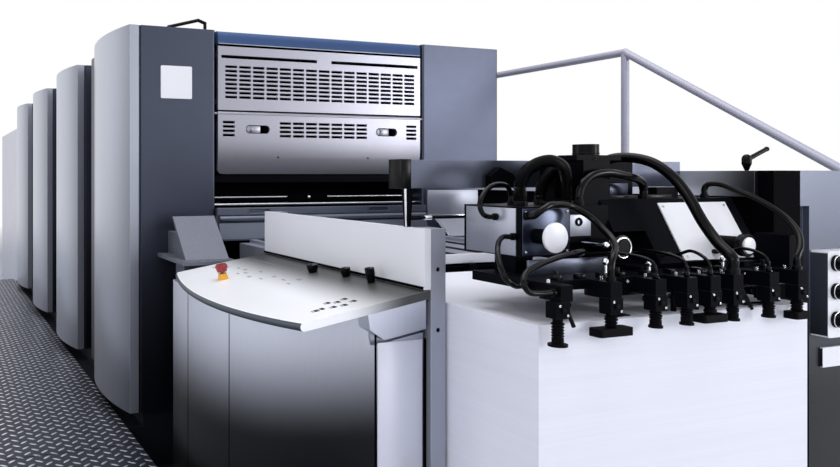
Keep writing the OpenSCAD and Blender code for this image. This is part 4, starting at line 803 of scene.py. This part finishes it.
# x, width and foot of each sucker
suckers = [(-395, 46, 962), (-225, 110, 976), (-75, 34, 985), (35, 34, 985), (120, 90, 988), (205, 34, 985),
           (345, 34, 985), (460, 60, 975)]
bellows = {
    # the rings up from the foot, the neck's ring, the stud in front (y from the middle, z, length, radius), and the
    # lip under the round feet, which are those below this width
    "rings": 4, "lowest": 25, "pitch": 7, "radius": 12.5, "thick": 5, "neckZ": 1016, "neck": (13, 6),
    "stud": (-12, 1050, 10, 7), "widest": 50, "lip": 3, "lipInset": 0.2, "lipTaper": 1,
}
headScrews = {
    # on each sucker: place from its x and front, and a nut on the beam
    "feet": [(-12, -18, 1062), (12, -18, 1038)], "foot": (3.5, 3), "nut": (9, -1866, 1109.5), "nutSize": (9, 5, 4),
    # along the beam, on the sloping plate and on the left module: x, y, z, then radius and height
    "beam": [(x, -1850, 1098) for x in range(-330, 560, 110)], "beamSize": (5, 4),
    "plate": [(x, -4, z) for x in (229, 483) for z in (16, 178)], "plateSize": (4, 2.5),
    "module": [(-326, -1723, 1276), (-184, -1723, 1276), (-326, -1723, 1169), (-184, -1723, 1169)],
    "moduleSize": (3.5, 2.5),
}
supplyTubes = {
    # thin tubes from the head's body down to the suckers that no larger hose reaches: x and y of the upper end, x of
    # the lower end; then the nut at each end
    "places": [(-128, -1690, -75), (35, -1630, 35), (150, -1752, 120), (338, -1752, 345)],
    "z": 1152, "foot": 1110, "diameter": 9, "nut": (13, 7), "lead": 34, "middle": (-10, 16), "ahead": (14, 2),
    "drop": 16,
}
plate = {"foot": (-1760, 1125), "lean": math.atan2(100, 180)}
plateTurn = (Matrix.Translation((0, plate["foot"][0] * mm, plate["foot"][1] * mm))
             @ Matrix.Rotation(-plate["lean"], 4, "X"))


def tubeMesh(path, diameter, sides=10):
    # A tube along a path: a small circle extruded and turned from point to point
    bm = bmesh.new()
    place = turnTo((path[1] - path[0]).normalized())
    for i, point in enumerate(path):
        ahead = (path[min(i + 1, len(path) - 1)] - path[max(i - 1, 0)]).normalized()
        swing = (place.to_3x3() @ Vector(up)).rotation_difference(ahead).to_matrix().to_4x4()
        place = swing @ place
        if i == 0:
            ring = bmesh.ops.create_circle(bm, segments=sides, radius=diameter / 2 * mm, cap_ends=True,
                                           matrix=Matrix.Translation(point * mm) @ place)["verts"]
            edges = edgesOf(ring)
        else:
            made = bmesh.ops.extrude_edge_only(bm, edges=edges)["geom"]
            edges = [g for g in made if isinstance(g, bmesh.types.BMEdge)]
            move = Matrix.Translation(point * mm) @ swing @ Matrix.Translation(-centre * mm)
            bmesh.ops.transform(bm, matrix=move, verts=vertsOf(made))
        centre = point
    bmesh.ops.contextual_create(bm, geom=edges)
    return bm


def joinMesh(bm, other):
    mesh = bpy.data.meshes.new("part")
    other.to_mesh(mesh)
    other.free()
    bm.from_mesh(mesh)
    bpy.data.meshes.remove(mesh)


def makeKnobs():
    discs, rims, balls = bmesh.new(), bmesh.new(), bmesh.new()
    sides = knobs["sides"]
    for place, disc, rim in knobs["fronts"]:
        if disc:
            addRound(discs, place, forward, knobs["thick"], disc, bevel=1.2, sides=sides)
        addRing(rims, place, away, rim, knobs["rim"], sides=sides)
    finishPiece("knobDiscs", discs, "plateWhite")
    x, z = knobs["clamp"]
    y, *size = knobs["face"]
    addRound(rims, (x, y, z), forward, *size, bevel=1.5, sides=sides)
    y, *size = knobs["cone"]
    addRound(rims, (x, y, z), forward, *size, sides=40)
    finishPiece("knobRims", rims, "blackPlastic")
    y, *size = knobs["ring"]
    addRing(balls, (x, y, z), away, *size, sides=sides)
    for seat, axis, length in knobs["stems"]:
        addRound(balls, seat, axis, length, knobs["stem"], sides=16)
        bmesh.ops.create_uvsphere(balls, u_segments=24, v_segments=14, radius=knobs["ball"] * mm,
                                  matrix=Matrix.Translation((Vector(seat) + length * Vector(axis)) * mm))
    finishPiece("chromeKnobs", balls, "chrome", smooth=60)


def makeHeadParts():
    makeBlocks(headBlocks)
    bm = bmesh.new()
    # painted sheen on the black fronts
    for low, high, bevel in moduleSheenPlates:
        addBlock(bm, low, high, bevel)
    finishPiece("moduleSheenPlates", bm, "moduleSheen")
    bm = bmesh.new()
    centre, *size = headParts["eye"]
    addRing(bm, centre, away, *size, sides=24)
    x, y, z = headParts["stack"]
    for k in range(headParts["stackCount"]):
        addRound(bm, (x, y, z - headParts["stackPitch"] * k), up, *headParts["stackDisc"], bevel=0.8, sides=40)
    low, high = (Vector(corner) for corner in headParts["block"])
    for x in headParts["blockX"]:
        addBlock(bm, low + Vector((x, 0, 0)), high + Vector((x, 0, 0)), 2)
    y, z, *size = headParts["cone"]
    for x in headParts["coneX"]:
        addRound(bm, (x, y, z), up, *size, bevel=1, sides=20)
    for low, high, bevel in headParts["bars"]:
        addBlock(bm, low, high, bevel)
    for x, foot in headParts["stems"]:
        addRound(bm, (x, headParts["stemY"], foot), up, *headParts["stem"], bevel=1, sides=20)
        addRound(bm, (x, headParts["stemY"], headParts["collarZ"]), up, *headParts["collar"], bevel=2, sides=20)
    for start, axis in headParts["levers"]:
        addRound(bm, start, axis, *headParts["lever"], bevel=1, sides=16)
    finishPiece("headParts", bm, "blackPlastic")


def makeBellows():
    bm = bmesh.new()
    for x, wide, z in suckers:
        for k in range(bellows["rings"]):
            addRing(bm, (x, footY, z + bellows["lowest"] + bellows["pitch"] * k), up, bellows["radius"],
                    bellows["thick"], sides=24, ringSides=6)
        y, middle, *size = bellows["stud"]
        addRound(bm, (x, footY + y, middle), forward, *size, bevel=1, sides=20)
        addRing(bm, (x, footY, bellows["neckZ"]), up, *bellows["neck"], sides=24, ringSides=6)
        if wide < bellows["widest"]:
            addRound(bm, (x, footY, z), up, bellows["lip"], wide / 2 - bellows["lipInset"],
                     wide / 2 - bellows["lipTaper"], sides=28)
    finishPiece("suckerBellows", bm, "softRubber")


def makeHeadScrews():
    bm = bmesh.new()
    for x, wide, z in suckers:
        for dx, dy, height in headScrews["feet"]:
            addScrew(bm, (x + dx, footY + dy, height), forward, *headScrews["foot"], sides=12)
        dx, y, height = headScrews["nut"]
        addRound(bm, (x + dx, y, height), up, *headScrews["nutSize"], sides=6)
    for where, turn in (("beam", None), ("plate", plateTurn), ("module", None)):
        for seat in headScrews[where]:
            addScrew(bm, seat, forward, *headScrews[where + "Size"], turn=turn)
    finishPiece("headScrews", bm, "brightSteel")


def makeSupplyTubes():
    bm = bmesh.new()
    z, lead, drop = (supplyTubes[key] for key in ("z", "lead", "drop"))
    (back, rise), (ahead, lift) = supplyTubes["middle"], supplyTubes["ahead"]
    for x0, y0, x1 in supplyTubes["places"]:
        points = ((x0, y0, z), (x0, y0 - lead, z), ((x0 + x1) / 2, (y0 + footY) / 2 + back, z + rise),
                  (x1, footY + ahead, z + lift), (x1, footY, z - drop), (x1, footY, supplyTubes["foot"]))
        joinMesh(bm, tubeMesh(hosePath(points, False), supplyTubes["diameter"]))
        addRound(bm, points[0], forward, *supplyTubes["nut"], bevel=1, sides=16)
        addRound(bm, points[-1], up, *supplyTubes["nut"], bevel=1, sides=16)
    finishPiece("supplyTubes", bm, "blackHose", smooth=50)


makeKnobs()
makeHeadParts()
makeBellows()
makeHeadScrews()
makeSupplyTubes()
print("suction head made")

trims = {
    "tableNose": ((-429, -912, 1034), (564, -899, 1070), 2, "plateWhite"),
    "crossbarCap": ((-533, -1454, 1336), (-499, -1386, 1423), 2, "blackPlastic"),
    "panelFoot": ((-505, -1519.6, 1048.6), (-481, -401, 1056.2), 0.5, "gapBlack"),
    "modulePanel": ((-343, -1704, 1158), (-339, -1502, 1286), 1, "lightGrey"),
    "frameSkirt": ((601, -12, 1166), (1006, -1, 1297), 1.5, "lightGrey"),
    "frameSkirtLip": ((601, -15, 1160), (1012, -1, 1168), 1, "brightSteel"),
    "cabinetGap": ((-491.6, -1500, 4), (-480.4, -1492, 905), 0, "gapBlack"),
    "cabinetEnd": ((-645, -1503.6, 12), (-496, -1500.6, 905), 1, "endPanel"),
    "cabinetCorner": ((-652.4, -1502.2, 4), (-647.4, -1499, 985), 0, "gapBlack"),
}
seams = {
    # the cabinet's front is an arc in plan: the places and tops of its two seams, their width, foot, and how far they
    # stand out and reach in
    "y": (-612, -940), "top": (946, 953), "width": 3.5, "foot": 4, "out": 0.6, "in": 2,
    "centre": (888, -564.5), "radius": 1800,
}
aprons = [("frameApron", (655, 1050), 0, "lightGrey"), ("apronStrip", (641, 655), 3, "brightSteel")]
apron = {"back": -1, "crest": -10, "front": -126, "top": 1150, "foot": 1061, "edge": 1066}
strut = {
    "from": (-484, -1420, 1248), "to": (-170, -1462, 1251), "radius": 4.5, "sleeve": (40, 8),
    # place along the rod, length, radius; then the thin chrome strip beside the stanchion, a painted highlight on its
    # edge
    "nuts": [(0.16, 22, 7), (0.92, 24, 7)], "pin": ((-500, -1428.5, 1223), (-0.052, -0.045, 1), 113, 2.6, 4.2),
}
headerLines = {
    # the painted shadow line under each blue header, and a painted highlight along the header's pale lower edge
    "headerShadows": ((-561, -0.8, 1984), (561, 3, 1994.5), "gapBlack"),
    "headerHighlights": ((-559, -0.8, 1994.5), (559, 3, 1998), "lightGrey"),
}


def makeSeams():
    bm = bmesh.new()
    half = seams["width"] / 2
    for y, top in zip(seams["y"], seams["top"]):
        x = seams["centre"][0] - math.sqrt(seams["radius"] ** 2 - (y - seams["centre"][1]) ** 2)
        addBlock(bm, (x - seams["out"], y - half, seams["foot"]), (x + seams["in"], y + half, top))
    finishPiece("cabinetSeams", bm, "gapBlack")


def makeAprons():
    # The sloping plate in front of the drive side's frame, and the bright strip down its edge
    for name, (x0, x1), lift, finish in aprons:
        bm = bmesh.new()
        back, front, top = apron["back"], apron["front"] - lift, apron["top"] + lift
        corners = ((back, top), (back, apron["foot"]), (front, apron["foot"]), (front, apron["edge"] + lift),
                   (apron["crest"], top))
        outline = [bm.verts.new(Vector((x0, y, z)) * mm) for y, z in corners]
        face = bmesh.ops.contextual_create(bm, geom=outline)["faces"]
        made = bmesh.ops.extrude_face_region(bm, geom=face)["geom"]
        bmesh.ops.translate(bm, verts=vertsOf(made), vec=((x1 - x0) * mm, 0, 0))
        finishPiece(name, bm, finish)


def makeStrut():
    start, end = Vector(strut["from"]), Vector(strut["to"])
    along = end - start
    bm = bmesh.new()
    addRound(bm, start, along, along.length, strut["radius"], sides=20)
    addRound(bm, start, along, *strut["sleeve"], bevel=1, sides=24)
    finishPiece("strutRod", bm, "blackPlastic")
    bm = bmesh.new()
    for share, length, radius in strut["nuts"]:
        addRound(bm, start.lerp(end, share), along, length, radius, bevel=1, sides=24)
    # painted highlight: a thin tapered chrome strip along the black stanchion's edge
    addRound(bm, *strut["pin"], sides=16)
    finishPiece("strutNutsAndHighlight", bm, "chrome")


def makeHeaderLines():
    for name, (low, high, finish) in headerLines.items():
        bm = bmesh.new()
        for y in unitFronts:
            addBlock(bm, (low[0], low[1] + y, low[2]), (high[0], high[1] + y, high[2]), 0.3)
        finishPiece(name, bm, finish)


makeBlocks(trims)
makeSeams()
makeAprons()
makeStrut()
makeHeaderLines()
print("trims made")
